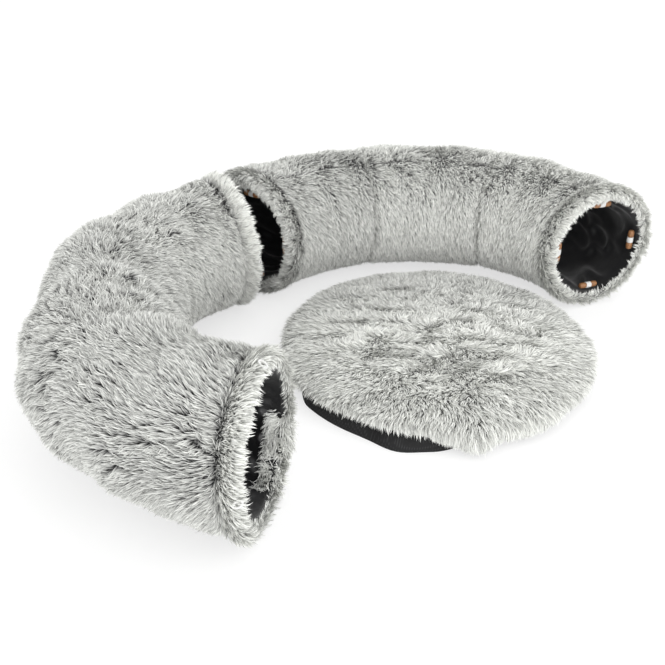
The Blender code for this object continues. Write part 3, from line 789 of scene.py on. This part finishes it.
def pile_lean(half, s, phi, share, along, around, normal):
    """Way that the pile lies, as a sum of pulls: down the sides under its weight, and along the
    tunnel in slow drifts. Near the loop half's free mouth it is combed along instead. On a roll it
    goes over into the mouth, just behind one it goes back, and at seams and partings it goes away
    from the line. In the flaps it hangs round and inwards."""
    weight, flow, wander = LIE[half]
    down = -UP + normal * (normal @ UP)[..., None]
    turn = wander * wave_sum(DRIFT[half], s, phi)
    lean = weight * down + flow * (along * np.cos(turn)[:, None] + around * np.sin(turn)[:, None])
    if half == "loop":
        near = (1 - ease((s - COMB_PLACE) / COMB_FADE))[:, None]
        steep = (NEAR_LIE - COMB_STEEP * np.sin(phi))[:, None]
        less = COMB_WANDER * turn
        combed = along * np.cos(less)[:, None] + around * np.sin(less)[:, None] + steep * down
        lean = lean * (1 - near) + combed * near
    mouth = mouth_distance(s)
    to_mouth = along * np.where(s < HALF_LENGTH / 2, -1.0, 1.0)[:, None]
    roll = (1 - ease((mouth - 0.026) / 0.014))[:, None]
    behind = (ease((mouth - 0.032) / 0.010) * (1 - ease((mouth - 0.044) / 0.02)))[:, None]
    lean = lean * (1 - roll) + to_mouth * (ROLL_PULL * roll - COMBED_BACK[half] * behind)
    for seam in SEAMS:
        # The parting at a seam wavers by up to 5 mm round the tunnel
        gap = s - seam - 0.003 * np.sin(3 * phi + 40 * seam) - 0.002 * np.sin(8 * phi + 25 * seam)
        lean = lean + along * parted(gap, SEAM_REACH)[:, None] * SEAM_PULL
    if half == "toggle":
        for angle, first, last in PARTINGS:
            patchy = 0.28 + 0.2 * np.cos(31 * s + angle) + 0.15 * np.cos(67 * s)
            pull = parted(phi - radians(angle), PARTING_REACH) * ((s > first) & (s < last)) * patchy
            lean = lean + around * pull[:, None]
    inward = flaps(half, s, phi, share)[:, None]
    return lean * (1 - inward) + inward * (0.7 * around + 0.2 * along)


def by_panel(s, values):
    """A value for each panel, going over into the next one close to the seam."""
    knots = np.array([0.5, 0.98, 1.02, 1.98, 2.02, 2.5]) * PANEL_LENGTH
    return np.interp(s, knots, np.repeat(values, 2))


def flaps(half, s, phi, share):
    """How strongly each root belongs to a flap that hangs into the near mouth: a bell of the
    fourth power over the angle, on the inner side of the roll."""
    total = np.zeros(len(s))
    if half == "loop":
        for angle, reach in FLAPS:
            total = total + angle_bell(phi, angle, reach, 4)
    return np.clip(total, 0, 1) * (s < HALF_LENGTH / 2) * (1 - ease((share - 0.45) / 0.2))


def roll_share(row, rows):
    """0 at the inner edge of a mouth's roll, 0.5 at its front and 1 at its outer edge or beyond."""
    inner = len(INNER_PLACES)
    return np.clip((np.minimum(row, rows - 1 - row) - inner) / (ROLL_ROWS - 1), 0, 1)


def blade_form(half, s, phi, share, grade):
    """Form of the blades at their roots, and how far they stray with their tuft. They grow longer
    from the inside of a roll to its outside and again to the body. They stand up in rough patches,
    in the groove and in flaps. Their roots are paler on rolls and flaps, as painted light, and
    darker in rough patches and in the groove, as painted shade. Panels and rolls differ in
    brightness, which is painted light."""
    mouth = mouth_distance(s)
    on_roll = 1 - ease((mouth - 0.024) / 0.012)
    hang = flaps(half, s, phi, share)
    inner_length = INNER_LENGTH[half]
    if half == "loop":
        inner_length = inner_length + LIP_LONGER * angle_bell(phi, *FAR_LIP) * (s < HALF_LENGTH / 2)
    outer = ease((share - 0.35) / 0.55)
    inner_length = inner_length + (ROLL_OUTSIDE - inner_length) * outer
    short = np.where(share < 1, inner_length, 1 - ROLL_BACK * on_roll)
    short = short * (1 + on_roll * (grade - 1)) + FLAP_LONGER * hang
    groove = bell(mouth, GROOVE_PLACE, GROOVE_REACH) * (share >= 1) * GROOVE_SHOWS[half]
    beside, beyond = ROUGH[half]
    rough = beyond + (beside - beyond) * (1 - ease((s - 0.36) / 0.10))
    rough = rough * ease((wave_sum(PATCHES[half], s, phi) + 0.5) / 2.0)
    stands = OPEN_ROUGHNESS * np.clip(bells(OPEN_PLACES[half], s, phi), 0, 1)
    rough = np.maximum(rough, stands) * (1 - on_roll)
    flat = BODY_FLAT - ROUGH_STANDS * rough + ROLL_FLATTER * on_roll
    flat = flat * (1 - hang) * (1 - GROOVE_STANDS * groove)
    pale = by_panel(s, PANEL_PALE[half]) - ROUGH_PAINTED_SHADE * rough + ROLL_ROOT_PAINTED_LIGHT * on_roll
    pale = pale * (1 - GROOVE_PAINTED_SHADE * groove) + FLAP_ROOT_PAINTED_LIGHT * hang
    bright = by_panel(s, PANEL_PAINTED_LIGHT[half]) + (ROLL_PAINTED_LIGHT[half] - 1) * on_roll
    return (short, flat, pale, bright), RAGGED[half] * on_roll + 0.75 * rough


def tunnel_pile(half, look):
    """Both coats of a half ring, each with the distance along of its blades. Roots and tufts are
    random points in the cells of a grid over the backing, with its length along and the angle
    round it as the two sides. Half the roots underneath and most of those inside are left out."""
    rng = np.random.default_rng(31 if half == "loop" else 47)
    profile = skin_profile(half)
    lengths = profile_length(profile)
    index = np.arange(len(lengths))
    around_length = tau * GRID_RADIUS

    def place(share_u, share_v):
        row = np.interp(share_u * lengths[-1], lengths, index)
        phi = share_v * tau
        s = np.interp(row, index, profile[0])
        at = skin_at(half, profile, row, phi)
        normal, along, around = skin_normal(half, profile, row, phi)
        share = roll_share(row, len(lengths))
        return (at, normal, pile_lean(half, s, phi, share, along, around, normal)), s, phi, share

    rows, columns = (int(length / look.tuft_size) for length in (lengths[-1], around_length))
    jitter = rng.random((2, rows, columns))
    cells = np.arange(rows * columns)
    centres = place((cells // columns + jitter[0].ravel()) / rows,
                    (cells % columns + jitter[1].ravel()) / columns)[0]
    tufts = make_tufts(rng, look, *centres)
    stray = rng.normal(size=(rows * columns, 3))
    grade = rng.uniform(0.65, 1.3, rows * columns)
    coats = []
    for under in (False, True):
        spacing = look.under_spacing if under else look.pile_spacing
        u, v = jittered(rng, int(lengths[-1] / spacing), int(around_length / spacing))
        keep = (np.sin(v * tau) > UNDERNEATH) | (rng.random(len(u)) < 0.5)
        u, v = u[keep], v[keep]
        where, s, phi, share = place(u, v)
        thin_out = 0.15 + 0.7 * rng.random(len(s)) + 9 * (s > FLAP_DEPTH)
        keep = (share >= INSIDE) | (flaps(half, s, phi, share) >= thin_out)
        where = tuple(values[keep] for values in where)
        u, v, s, phi, share = (values[keep] for values in (u, v, s, phi, share))
        tuft = nearest_tuft(u, v, jitter, rows, columns)
        form, loose = blade_form(half, s, phi, share, grade[tuft])
        where = (where[0], where[1], where[2] + loose[:, None] * stray[tuft])
        coats.append((grow(rng, look, where, tuft, tufts, form, under), s))
    return coats


PARTS = (
    ("loop", "free", "loop_free_end", "loop_middle", 0),
    ("loop", "join", "loop_middle", "loop_join_end", 1),
    ("toggle", "join", "toggle_join_end", "toggle_middle", 0),
    ("toggle", "free", "toggle_middle", "toggle_free_end", 1),
)


def bend_with(piece):
    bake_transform(piece)


def split_range(part):
    """The stretch along its half that a part covers: up to the middle or from it."""
    return (0.0, HALF_LENGTH / 2) if part[4] == 0 else (HALF_LENGTH / 2, HALF_LENGTH)


def make_skin(part, material):
    """Backing as a closed sleeve: out along the profile and back just outside the lining."""
    half, end = part[:2]
    low, high = split_range(part)
    profile = skin_profile(half)
    profile = profile[:, (profile[0] >= low - 1e-9) & (profile[0] <= high + 1e-9)]
    edge = low if low > 0 else high
    wide, tall = body_size(edge)
    cut = [[edge], [wide - PILE_DEPTH], [tall - PILE_DEPTH], [1.0], [1.0]]
    back = np.linspace(high if low == 0 else high - 0.040, 0.040 if low == 0 else low, 30)
    wide, tall = passage_size(back)
    back = np.stack([back, wide + BACK_GAP, tall + BACK_GAP, back * 0, back * 0])
    profile = np.concatenate([cut, profile, back] if low > 0 else [profile, cut, back], axis=1)
    phi = np.linspace(0, tau, 96, endpoint=False)
    rows = np.arange(profile.shape[1], dtype=float)
    points = skin_at(half, profile, rows[:, None], phi[None, :])
    faces = grid_faces(len(rows), len(phi), True, True)
    return new_piece(f"{half}_{end}_backing", points.reshape(-1, 3), faces, material)


def make_lining(part, material):
    """Lining as a thin closed sleeve. Its inner face rises in soft folds where a sum of slow
    slanting waves passes through nothing, and in a ridge at each seam."""
    half, end = part[:2]
    low, high = split_range(part)
    s = np.linspace(0.010 if low == 0 else low, high if low == 0 else high - 0.010, 92)
    phi = np.linspace(0, tau, 126, endpoint=False)
    mouth = mouth_distance(s)
    wider = 0.0010 * (1 - ease((mouth - 0.024) / 0.014))
    wide, tall = (values[:, None] + wider[:, None] for values in passage_size(s))
    slow = waves(61 if half == "loop" else 67, 14, 0.34, 0.06)
    crumple = bell(wave_sum(slow, s[:, None], phi * 2.0 + 9.0 * s[:, None]) * 1.5, 0, 1)
    crumple = crumple * ease((mouth - 0.014) / 0.05)[:, None]
    seams = np.minimum(np.abs(s - SEAMS[0]), np.abs(s - SEAMS[1]))
    ridge = bell(seams, 0, 0.004)[:, None]
    rise = CLOTH_THICKNESS + FOLD_HEIGHT * crumple + SEAM_RIDGE * ridge
    centre, _, left = path_frame(PATHS[half], s)
    outer = tube(centre[:, None], left[:, None], wide + rise * 0, tall + rise * 0, phi)
    inner = tube(centre[:, None], left[:, None], wide - rise, tall - rise, phi)
    points = np.concatenate([outer, inner[::-1]])
    faces = grid_faces(2 * len(s), len(phi), True, True)
    return new_piece(f"{half}_{end}_lining_cloth", points.reshape(-1, 3), faces, material)


# Cushion surfaces

CUSHION_LUMPS = waves(83, 16, 0.10, 0.05)
CUSHION_DRIFT = waves(89, 12, 0.30, 0.09)
# Radius of the backing, height of its edge, and how much of the solid's lumps it takes over
CUSHION_EDGE = 0.270
SKIN_LOW = 0.035
LUMP_SHARE = 0.3
# The cushion's pile is a little denser than the tunnel's: spacing as a share
CUSHION_SPACING = 0.9
# The tuft that stands out at the front: its angle and half width in degrees, and its reach
TUFT_ANGLE, TUFT_WIDTH, TUFT_REACH = 277, 4, 0.055
# Height of the flat inside of the cushion, between its base cloth and its backing
CUSHION_FLOOR = 0.0245


def base_shows(phi, last=256):
    """1 where the black base shows under the fringe, at the front left and in one short place at
    the right, and 0 elsewhere."""
    degrees = np.degrees(phi) % 360
    front = ease((degrees - 200) / 14) * (1 - ease((degrees - last) / 14))
    return np.clip(front + 0.35 * angle_bell(phi, 314, 4), 0, 1)


def cushion_outline(phi):
    """Radius of the pile's backing round the cushion: a circle with a few soft corners, and one
    tuft that stands out at the front."""
    return CUSHION_EDGE * (1 + 0.006 * np.cos(5 * phi + 0.4) + 0.005 * np.cos(8 * phi + 1.9)
                           + 0.004 * np.cos(13 * phi + 0.2)
                           + TUFT_REACH * angle_bell(phi, TUFT_ANGLE, TUFT_WIDTH))


def cushion_skin(u, phi):
    """Crowned pad: u runs from 0 at the middle to 1 at the widest edge and 1.1 under it. The
    height falls from the crown as one less u to the power 2.6, all to the power 0.75."""
    over = np.clip(u, 0, 1)
    under = np.clip((u - 1) / 0.1, 0, 1)
    tuck = 0.004 + 0.016 * base_shows(phi)
    radius = cushion_outline(phi) * (over - tuck * under)
    x, y = radius * np.cos(phi), radius * np.sin(phi)
    top = CUSHION_HEIGHT - PILE_DEPTH
    height = SKIN_LOW + (top - SKIN_LOW) * (1 - over ** 2.6) ** 0.75 - 0.008 * under
    fine = 0.0010 * wave_sum(CUSHION_LUMPS, x, y * 20) * (1 - over ** 4)
    return CUSHION_CENTRE + np.stack([x, y, height - LUMP_SHARE * lump(x, y) + fine], -1)


def cushion_place(share, angle):
    """Place, outward direction and lean of the pile on the cushion. It drifts over the crown, and
    fans out and down at the edge."""
    at = cushion_skin(share, angle)
    out = unit(cushion_skin(share + 0.006, angle) - cushion_skin(np.maximum(share - 0.006, 0.001), angle))
    around = unit(cushion_skin(share, angle + 0.01) - cushion_skin(share, angle - 0.01))
    normal = unit(np.cross(out, around))
    local = at - CUSHION_CENTRE
    turn = 1.3 * wave_sum(CUSHION_DRIFT, local[:, 0], local[:, 1] * 20)
    lean = out * np.cos(turn)[:, None] + around * np.sin(turn)[:, None]
    edge = (ease((share - 0.45) / 0.45) * (1 - 0.6 * ease(np.sin(angle) / 0.7)))[:, None]
    return at, normal, lean * (1 - 0.7 * edge) + out * edge * 1.3


def sunflower(count, shift):
    """Points spread evenly over a disc: square root radii at steps of the golden angle."""
    k = np.arange(count)
    return np.sqrt((k + 0.5) / count), (k * 2.399963 + shift) % tau


def cushion_pile(look):
    """Both coats of the cushion. Blades are longer and flatter towards the edge, and darker and
    steeper towards the back. Their darkening towards the back is painted shade, and their pale
    roots and raised brightness are painted light. Over the black base their tips stay higher."""
    rng = np.random.default_rng(59)
    reach = 1.09
    area = pi * (CUSHION_EDGE * reach) ** 2 / CUSHION_SPACING ** 2
    share, angle = sunflower(int(area / look.tuft_size ** 2), 1.0)
    centres = cushion_place(share * reach, angle + rng.uniform(-0.03, 0.03, len(angle)))
    tufts = make_tufts(rng, look, *centres)
    stray = rng.normal(size=(len(angle), 3))
    coats = []
    for under in (False, True):
        spacing = look.under_spacing if under else look.pile_spacing
        share, angle = sunflower(int(area / spacing ** 2), 0.0)
        share = share * reach + rng.uniform(-0.004, 0.004, len(share))
        where = cushion_place(np.maximum(share, 0.002), angle + rng.uniform(-0.008, 0.008, len(angle)))
        tuft = nearest_of(where[0], centres[0])
        edge = ease((share - 0.60) / 0.35)
        shows = base_shows(angle)
        low = 0.004 + 0.017 * shows
        hanging = angle_bell(angle, TUFT_ANGLE, 5) * ease((share - 0.9) / 0.1)
        short = (1 + 0.35 * edge * (1 - shows) + 0.7 * hanging) * (0.84 + 0.16 * edge)
        back = ease((share * np.sin(angle) + 0.25) / 0.9)
        flat = (0.48 + 0.32 * edge) * (1 - 0.6 * back)
        # Pale roots and a raised brightness over the cushion are painted light; the darkening towards the
        # back and a little towards the edge is painted shade
        form = (short, flat, 0.72 - 0.58 * back, 1.20 - 0.07 * edge - 0.22 * back)
        where = (where[0], where[1], where[2] + (0.40 - 0.15 * edge)[:, None] * stray[tuft])
        coat = grow(rng, look, where, tuft, tufts, form, under)
        coat[2][:, 2] = np.maximum(coat[2][:, 2], low + rng.uniform(0, 0.004, len(low)))
        coats.append(coat)
    return coats


def nearest_of(points, centres, block=4000):
    """Index of the nearest centre to each point, a block of points at a time."""
    found = []
    sizes = (centres[:, :2] ** 2).sum(-1)
    for first in range(0, len(points), block):
        here = points[first:first + block, :2]
        found.append(np.argmin(sizes[None] - 2 * here @ centres[:, :2].T, axis=1))
    return np.concatenate(found)


def make_cushion_skin(material):
    """Backing of the pile, closed under the pad by a flat floor just over the base cloth."""
    share = np.concatenate([np.linspace(0.02, 0.9, 44), np.linspace(0.92, 1.1, 10)])
    phi = np.linspace(0, tau, 140, endpoint=False)
    top = cushion_skin(share[:, None], phi[None, :]) - CUSHION_CENTRE
    under = top[-1] * np.linspace(0.96, 0.02, 12)[:, None, None]
    under[..., 2] = CUSHION_FLOOR
    rings = np.concatenate([top, under]) + CUSHION_CENTRE
    return capped_piece("cushion_backing", rings, material, flipped=True)[0]


def make_cushion_base(material):
    """Black cloth tray: flat underneath, with a folded wall that leans in up to the pile. The
    wall's radius goes from foot to rim by the square of its share up. Two sums of waves fold it,
    and one corner stands out beside a pleat."""
    phi = np.linspace(0, tau, 220, endpoint=False)
    wall = np.linspace(0, 1, 12)[:, None]
    shows = base_shows(phi, 263)
    folds = 0.0022 * np.cos(17 * phi + 1.1) + 0.0018 * np.cos(29 * phi + 0.3)
    corner_out = 0.013 * angle_bell(phi, 252, 8)
    pleat = 0.008 * angle_bell(phi, 243, 1.3)
    foot = 0.259 + 0.018 * shows + corner_out * (0.4 + 0.6 * shows)
    radius = foot + (0.265 - foot) * wall ** 2 + (folds - pleat) * np.sin(wall * pi * 0.8)
    height = 0.0005 + 0.026 * wall + 0 * phi
    sides = np.stack([radius * np.cos(phi), radius * np.sin(phi), height], -1)
    floor = sides[0] * np.linspace(0.03, 0.98, 12)[:, None, None]
    floor[..., 2] = 0.0005
    top = sides[-1] * np.linspace(0.97, 0.03, 12)[:, None, None]
    top[..., 2] = CUSHION_FLOOR
    rings = np.concatenate([floor, sides, top]) + CUSHION_CENTRE
    piece, points = capped_piece("cushion_base_cloth", rings, material)
    x, y, z = (points - CUSHION_CENTRE).T
    angle = np.arctan2(y, x)
    reach = np.hypot(x, y) + z
    add_uv(piece.data, "Weave", np.stack([reach * np.cos(angle), reach * np.sin(angle)], -1))
    return piece


# Turned toggles and cord loops

# The eye of a cord loop: how far it lies off the roll's middle, its two half sizes, and its cord
LOOP_OUT = 0.0154
LOOP_WIDE = 0.0050
LOOP_TALL = 0.0062
CORD_RADIUS = 0.0017
# Profiles of a toggle and of its band: distance along from the middle, and radius
TOGGLE_TIP = [(-0.0205 + 0.0030 * (1 - cos(a)), 0.0012 + 0.0044 * sin(a))
              for a in np.linspace(0.1, pi / 2, 6)]
TOGGLE_HALF = TOGGLE_TIP + [(-0.0145, 0.0061), (-0.0105, 0.0062), (-0.0075, 0.0060),
                            (-0.0066, 0.0050), (-0.0060, 0.0047)]
TOGGLE_PROFILE = TOGGLE_HALF + [(-x, r) for x, r in reversed(TOGGLE_HALF)]
BAND_HALF = [(-0.0055, 0.0052), (-0.0057, 0.0057), (-0.0054, 0.0062), (-0.0027, 0.0063)]
BAND_PROFILE = BAND_HALF + [(0.0, 0.0063)] + [(-x, r) for x, r in reversed(BAND_HALF)]
GRAIN_LENGTH = 0.04
TURN_STEPS = 24


def toggle_axes(name):
    """Middle of a toggle, its long way, which is the longest spread of the solid's points, and the
    axis that it turns on."""
    radial = np.array(JOINTS[f"{name}_turn"]["axis"])
    middle = np.mean(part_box(name), axis=0)
    solid = frame["nodes"][name]
    points = np.zeros(len(solid.data.vertices) * 3)
    solid.data.vertices.foreach_get("co", points)
    long_way = np.linalg.svd(points.reshape(-1, 3) - middle, full_matrices=False)[2][0]
    return middle, unit(long_way), radial


def turned(name, axes, profile, material):
    """A profile of (distance along, radius) carried round the toggle's long way, with a Grain map
    of the turn and the distance along."""
    centre, long_way, radial = axes
    along, radius = np.array(profile).T
    phi = np.linspace(0, tau, TURN_STEPS, endpoint=False)
    ring = np.cos(phi)[:, None] * radial + np.sin(phi)[:, None] * np.cross(long_way, radial)
    rings = centre + along[:, None, None] * long_way + radius[:, None, None] * ring
    piece = capped_piece(name, rings, material)[0]
    turn = np.append(np.tile(phi / tau, len(profile)), [0.5, 0.5])
    grain = np.append(np.repeat(along, TURN_STEPS), along[[0, -1]]) / GRAIN_LENGTH
    add_uv(piece.data, "Grain", np.stack([turn, grain], -1))
    return piece


# Settings

def size(name, description, default, low=0.0):
    return bpy.props.FloatProperty(name=name, description=description, default=default,
                                   min=low, subtype="DISTANCE", unit="LENGTH", precision=4)


def amount(name, description, default):
    return bpy.props.FloatProperty(name=name, description=description, default=default, min=0)


def tint(name, description, default):
    return bpy.props.FloatVectorProperty(name=name, description=description, default=default,
                                         size=3, min=0, max=1, subtype="COLOR")


class TunnelPile(bpy.types.PropertyGroup):
    pile_length: size("Pile length", "Length of a long blade of pile from root to tip", 0.0225)
    pile_width: size("Blade width", "Width of a long blade", 0.0015)
    pile_spacing: size("Blade spacing", "Distance between the roots of long blades", 0.0033, 0.001)
    under_width: size("Under coat width", "Width of a short blade", 0.0015)
    under_spacing: size("Under coat spacing", "Distance between the roots of short blades", 0.0025, 0.001)
    tuft_size: size("Tuft size", "Distance between tufts", 0.008, 0.002)
    tuft_wander: amount("Tuft wander", "How far tufts stray from the lie of the pile", 0.28)
    blade_wander: amount("Blade wander", "How far blades stray from the lie of the pile", 0.22)


class TunnelFinish(bpy.types.PropertyGroup):
    pile_root: tint("Pile root", "Colour of the pile at its root", (0.052, 0.052, 0.053))
    pile_middle: tint("Pile middle", "Colour of the pile half way up", (0.42, 0.42, 0.41))
    pile_tip: tint("Pile tip", "Frosted colour of the tips", (0.79, 0.795, 0.765))
    lining: tint("Lining", "Black lining cloth", (0.010, 0.010, 0.011))
    base_cloth: tint("Base cloth", "Woven cloth under the cushion", (0.007, 0.007, 0.0075))
    base_dots: tint("Base dots", "Fine dots in the base cloth", (0.022, 0.022, 0.023))
    wood: tint("Wood", "Oiled wood of the toggles", (0.42, 0.20, 0.085))
    elastic: tint("Elastic", "White elastic", (0.86, 0.86, 0.85))
    wire: tint("Wire", "Spring wire", (0.55, 0.56, 0.58))


# Operators

class TUNNEL_OT_pile(bpy.types.Operator):
    """Make the frosted pile and its backing over both half rings"""
    bl_idname = "tunnel.pile"
    bl_label = "Tunnel Pile"

    def execute(self, context):
        look = context.scene.tunnel_pile
        coats = {half: tunnel_pile(half, look) for half in PATHS}
        for part in PARTS:
            half, end, _, _, seam = part
            low, high = split_range(part)
            number = 1 if seam == 0 else 3
            backing = make_skin(part, finish("backing"))
            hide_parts(f"{half}_cover_{number}", f"{half}_cover_2", f"{half}_{end}_roll")
            made = [backing]
            for (coat, s), (shape, kind) in zip(coats[half], KINDS):
                take = (s >= low) & (s < high) if low == 0 else s >= low
                mine = [values[take] for values in coat]
                made.append(strands(f"{half}_{end}_{kind}", mine, shape, finish("pile")))
            for piece in made:
                bend_with(piece)
        return {"FINISHED"}


class TUNNEL_OT_linings(bpy.types.Operator):
    """Make the crumpled black lining of both half rings"""
    bl_idname = "tunnel.linings"
    bl_label = "Linings"

    def execute(self, context):
        for part in PARTS:
            piece = make_lining(part, finish("lining"))
            number = 1 if part[4] == 0 else 3
            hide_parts(f"{part[0]}_lining_{number}", f"{part[0]}_lining_2")
            bend_with(piece)
        return {"FINISHED"}


class TUNNEL_OT_toggles(bpy.types.Operator):
    """Make the turned wooden toggles and their elastic bands"""
    bl_idname = "tunnel.toggles"
    bl_label = "Toggles"

    def execute(self, context):
        for mouth in ("toggle_join", "toggle_free"):
            for side in SIDES:
                name = f"{mouth}_toggle_{side}"
                axes = toggle_axes(name)
                piece = turned(f"{name}_turned", axes, TOGGLE_PROFILE, finish("wood"))
                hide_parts(name)
                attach(piece, name)
                strap = turned(f"{mouth}_strap_{side}", axes, BAND_PROFILE, finish("elastic"))
                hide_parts(f"{mouth}_band_{side}")
                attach(strap, name)
        return {"FINISHED"}


def cord_loop(name, solid_name, mouth, material):
    """A closed round cord on an oval, lying against the front outer corner of a roll: the oval's
    place plus cosine and sine steps round a circle of the cord's radius."""
    half, end = mouth
    s = 0.0 if end == "free" else HALF_LENGTH
    centre, along, _ = path_end(PATHS[half], s)
    forward = -along if end == "free" else along
    radial = np.mean(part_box(solid_name), axis=0) - centre
    radial = unit(radial - forward * (radial @ forward))
    sideways = np.cross(forward, radial)
    outward = unit(forward + radial * 1.2)
    inward = np.cross(outward, sideways)
    roll = centre - forward * ROLL_ROUND + radial * (MOUTH_RADIUS - ROLL_ROUND)
    turn = np.linspace(0, tau, 28, endpoint=False)[:, None]
    across, down = sideways * np.cos(turn), inward * np.sin(turn)
    oval = roll + outward * LOOP_OUT + across * LOOP_WIDE + down * LOOP_TALL
    away = unit(across / LOOP_WIDE + down / LOOP_TALL)
    cord = np.linspace(0, tau, 10, endpoint=False)[None, :, None]
    points = oval[:, None] + CORD_RADIUS * (away[:, None] * np.cos(cord) + outward * np.sin(cord))
    return new_piece(name, points.reshape(-1, 3), grid_faces(28, 10, True, True), material)


class TUNNEL_OT_small_parts(bpy.types.Operator):
    """Make the cord loops and give the wire hoops their finish"""
    bl_idname = "tunnel.small_parts"
    bl_label = "Loops and Hoops"

    def execute(self, context):
        for name, solid in frame["nodes"].items():
            if "_hoop" in name:
                solid.material_slots[0].material = finish("wire")
        for end in ("free", "join"):
            for side in SIDES:
                name = f"loop_{end}_loop_{side}"
                cord = cord_loop(f"loop_{end}_cord_{side}", name, ("loop", end), finish("elastic"))
                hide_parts(name)
                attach(cord, f"loop_{end}_end")
        return {"FINISHED"}


class TUNNEL_OT_cushion(bpy.types.Operator):
    """Make the cushion: pile, its backing and the black base cloth"""
    bl_idname = "tunnel.cushion"
    bl_label = "Cushion"

    def execute(self, context):
        look = context.scene.tunnel_pile
        coats = cushion_pile(look)
        made = [make_cushion_skin(finish("backing")), make_cushion_base(finish("base"))]
        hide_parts("cushion_top", "cushion_fill")
        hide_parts("cushion_base")
        for coat, (shape, kind) in zip(coats, KINDS):
            piece = strands(f"cushion_{kind}", coat, shape, finish("pile"))
            made.append(piece)
        for piece in made:
            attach(piece, "cushion")
            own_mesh(piece)
        return {"FINISHED"}


class TUNNEL_OT_stage(bpy.types.Operator):
    """Set the pale floor, the soft lights and the camera"""
    bl_idname = "tunnel.stage"
    bl_label = "Stage"

    def execute(self, context):
        scene = context.scene
        scene.view_settings.view_transform = "Standard"
        corners = [(-9, -9, 0), (9, -9, 0), (9, 9, 0), (-9, 9, 0)]
        floor = new_piece("floor", corners, [[0, 1, 2, 3]], floor_material(), smooth=False)
        scene.world = studio_world()
        for name, place, aim, power, span in (
            ("key_light", (-0.3, -5.0, 1.7), (0.1, 0.0, 0.1), 80, 2.4),
            ("fill_light", (1.9, -1.4, 1.9), (0.0, 0.0, 0.1), 16, 1.8),
            ("top_light", (0.2, 1.2, 2.8), (0.0, 0.1, 0.1), 5, 2.0),
        ):
            data = bpy.data.lights.new(name, "AREA")
            data.energy = power
            data.size = span
            lamp = bpy.data.objects.new(name, data)
            lamp.location = place
            lamp.rotation_euler = (Vector(aim) - Vector(place)).to_track_quat("-Z", "Y").to_euler()
            scene.collection.objects.link(lamp)
        data = bpy.data.cameras.new("camera")
        data.sensor_width = SENSOR_WIDTH
        data.sensor_fit = "HORIZONTAL"
        data.lens = FOCAL_PIXELS / PICTURE_WIDTH * SENSOR_WIDTH
        camera = bpy.data.objects.new("camera", data)
        camera.location = (SHIFT[0], SHIFT[1], CAMERA_HEIGHT)
        camera.rotation_euler = (radians(90 - CAMERA_PITCH), 0, 0)
        scene.collection.objects.link(camera)
        scene.camera = camera
        return {"FINISHED"}


def floor_material():
    """White floor. To the camera it also glows a little, so that it is white and keeps a shadow."""
    material, tree, shader = fresh_material("white_floor", 0.9, (0.8, 0.8, 0.8))
    feed(tree, shader, {"Specular IOR Level": 0.0})
    glow = node(tree, "ShaderNodeEmission", {"Strength": 0.66})
    dim = node(tree, "ShaderNodeBsdfDiffuse", {"Color": (0.38, 0.38, 0.38, 1)})
    both = node(tree, "ShaderNodeAddShader", {0: glow.outputs[0], 1: dim.outputs[0]})
    seen = node(tree, "ShaderNodeLightPath").outputs["Is Camera Ray"]
    mix = {"Fac": seen, 1: shader.outputs[0], 2: both.outputs[0]}
    surface = node(tree, "ShaderNodeMixShader", mix).outputs[0]
    feed(tree, tree.nodes["Material Output"], {"Surface": surface})
    return material


def studio_world():
    """Even pale light, with plain white behind the object and in its reflections."""
    world = bpy.data.worlds.new("studio")
    world.use_nodes = True
    tree = world.node_tree
    light = tree.nodes["Background"]
    feed(tree, light, {"Color": (0.965, 0.97, 0.965, 1), "Strength": 1.03})
    white = node(tree, "ShaderNodeBackground", {"Color": (1, 1, 1, 1), "Strength": 1.0})
    rays = node(tree, "ShaderNodeLightPath").outputs
    both = {0: rays["Is Camera Ray"], 1: rays["Is Glossy Ray"]}
    seen = node(tree, "ShaderNodeMath", both, operation="MAXIMUM").outputs[0]
    mix = {"Fac": seen, 1: light.outputs[0], 2: white.outputs[0]}
    surface = node(tree, "ShaderNodeMixShader", mix).outputs[0]
    feed(tree, tree.nodes["World Output"], {"Surface": surface})
    return world


class TUNNEL_PT_panel(bpy.types.Panel):
    """Settings and pieces of the cat tunnel"""
    bl_idname = "TUNNEL_PT_panel"
    bl_label = "Cat Tunnel"
    bl_space_type = "VIEW_3D"
    bl_region_type = "UI"
    bl_category = "Cat Tunnel"

    def draw(self, context):
        for group in (context.scene.tunnel_pile, context.scene.tunnel_finish):
            box = self.layout.box()
            for name in group.__annotations__:
                box.prop(group, name)
        for operator in OPERATORS:
            self.layout.operator(operator.bl_idname)


OPERATORS = (TUNNEL_OT_pile, TUNNEL_OT_linings, TUNNEL_OT_toggles, TUNNEL_OT_small_parts,
             TUNNEL_OT_cushion, TUNNEL_OT_stage)
CLASSES = (TunnelPile, TunnelFinish) + OPERATORS + (TUNNEL_PT_panel,)


def register():
    for item in CLASSES:
        bpy.utils.register_class(item)
    bpy.types.Scene.tunnel_pile = bpy.props.PointerProperty(type=TunnelPile)
    bpy.types.Scene.tunnel_finish = bpy.props.PointerProperty(type=TunnelFinish)


def unregister():
    del bpy.types.Scene.tunnel_finish
    del bpy.types.Scene.tunnel_pile
    for item in reversed(CLASSES):
        bpy.utils.unregister_class(item)


def main():
    register()
    bpy.ops.tunnel.stage()
    bpy.ops.tunnel.pile()
    bpy.ops.tunnel.linings()
    bpy.ops.tunnel.toggles()
    bpy.ops.tunnel.small_parts()
    bpy.ops.tunnel.cushion()


if __name__ == "__main__":
    main()
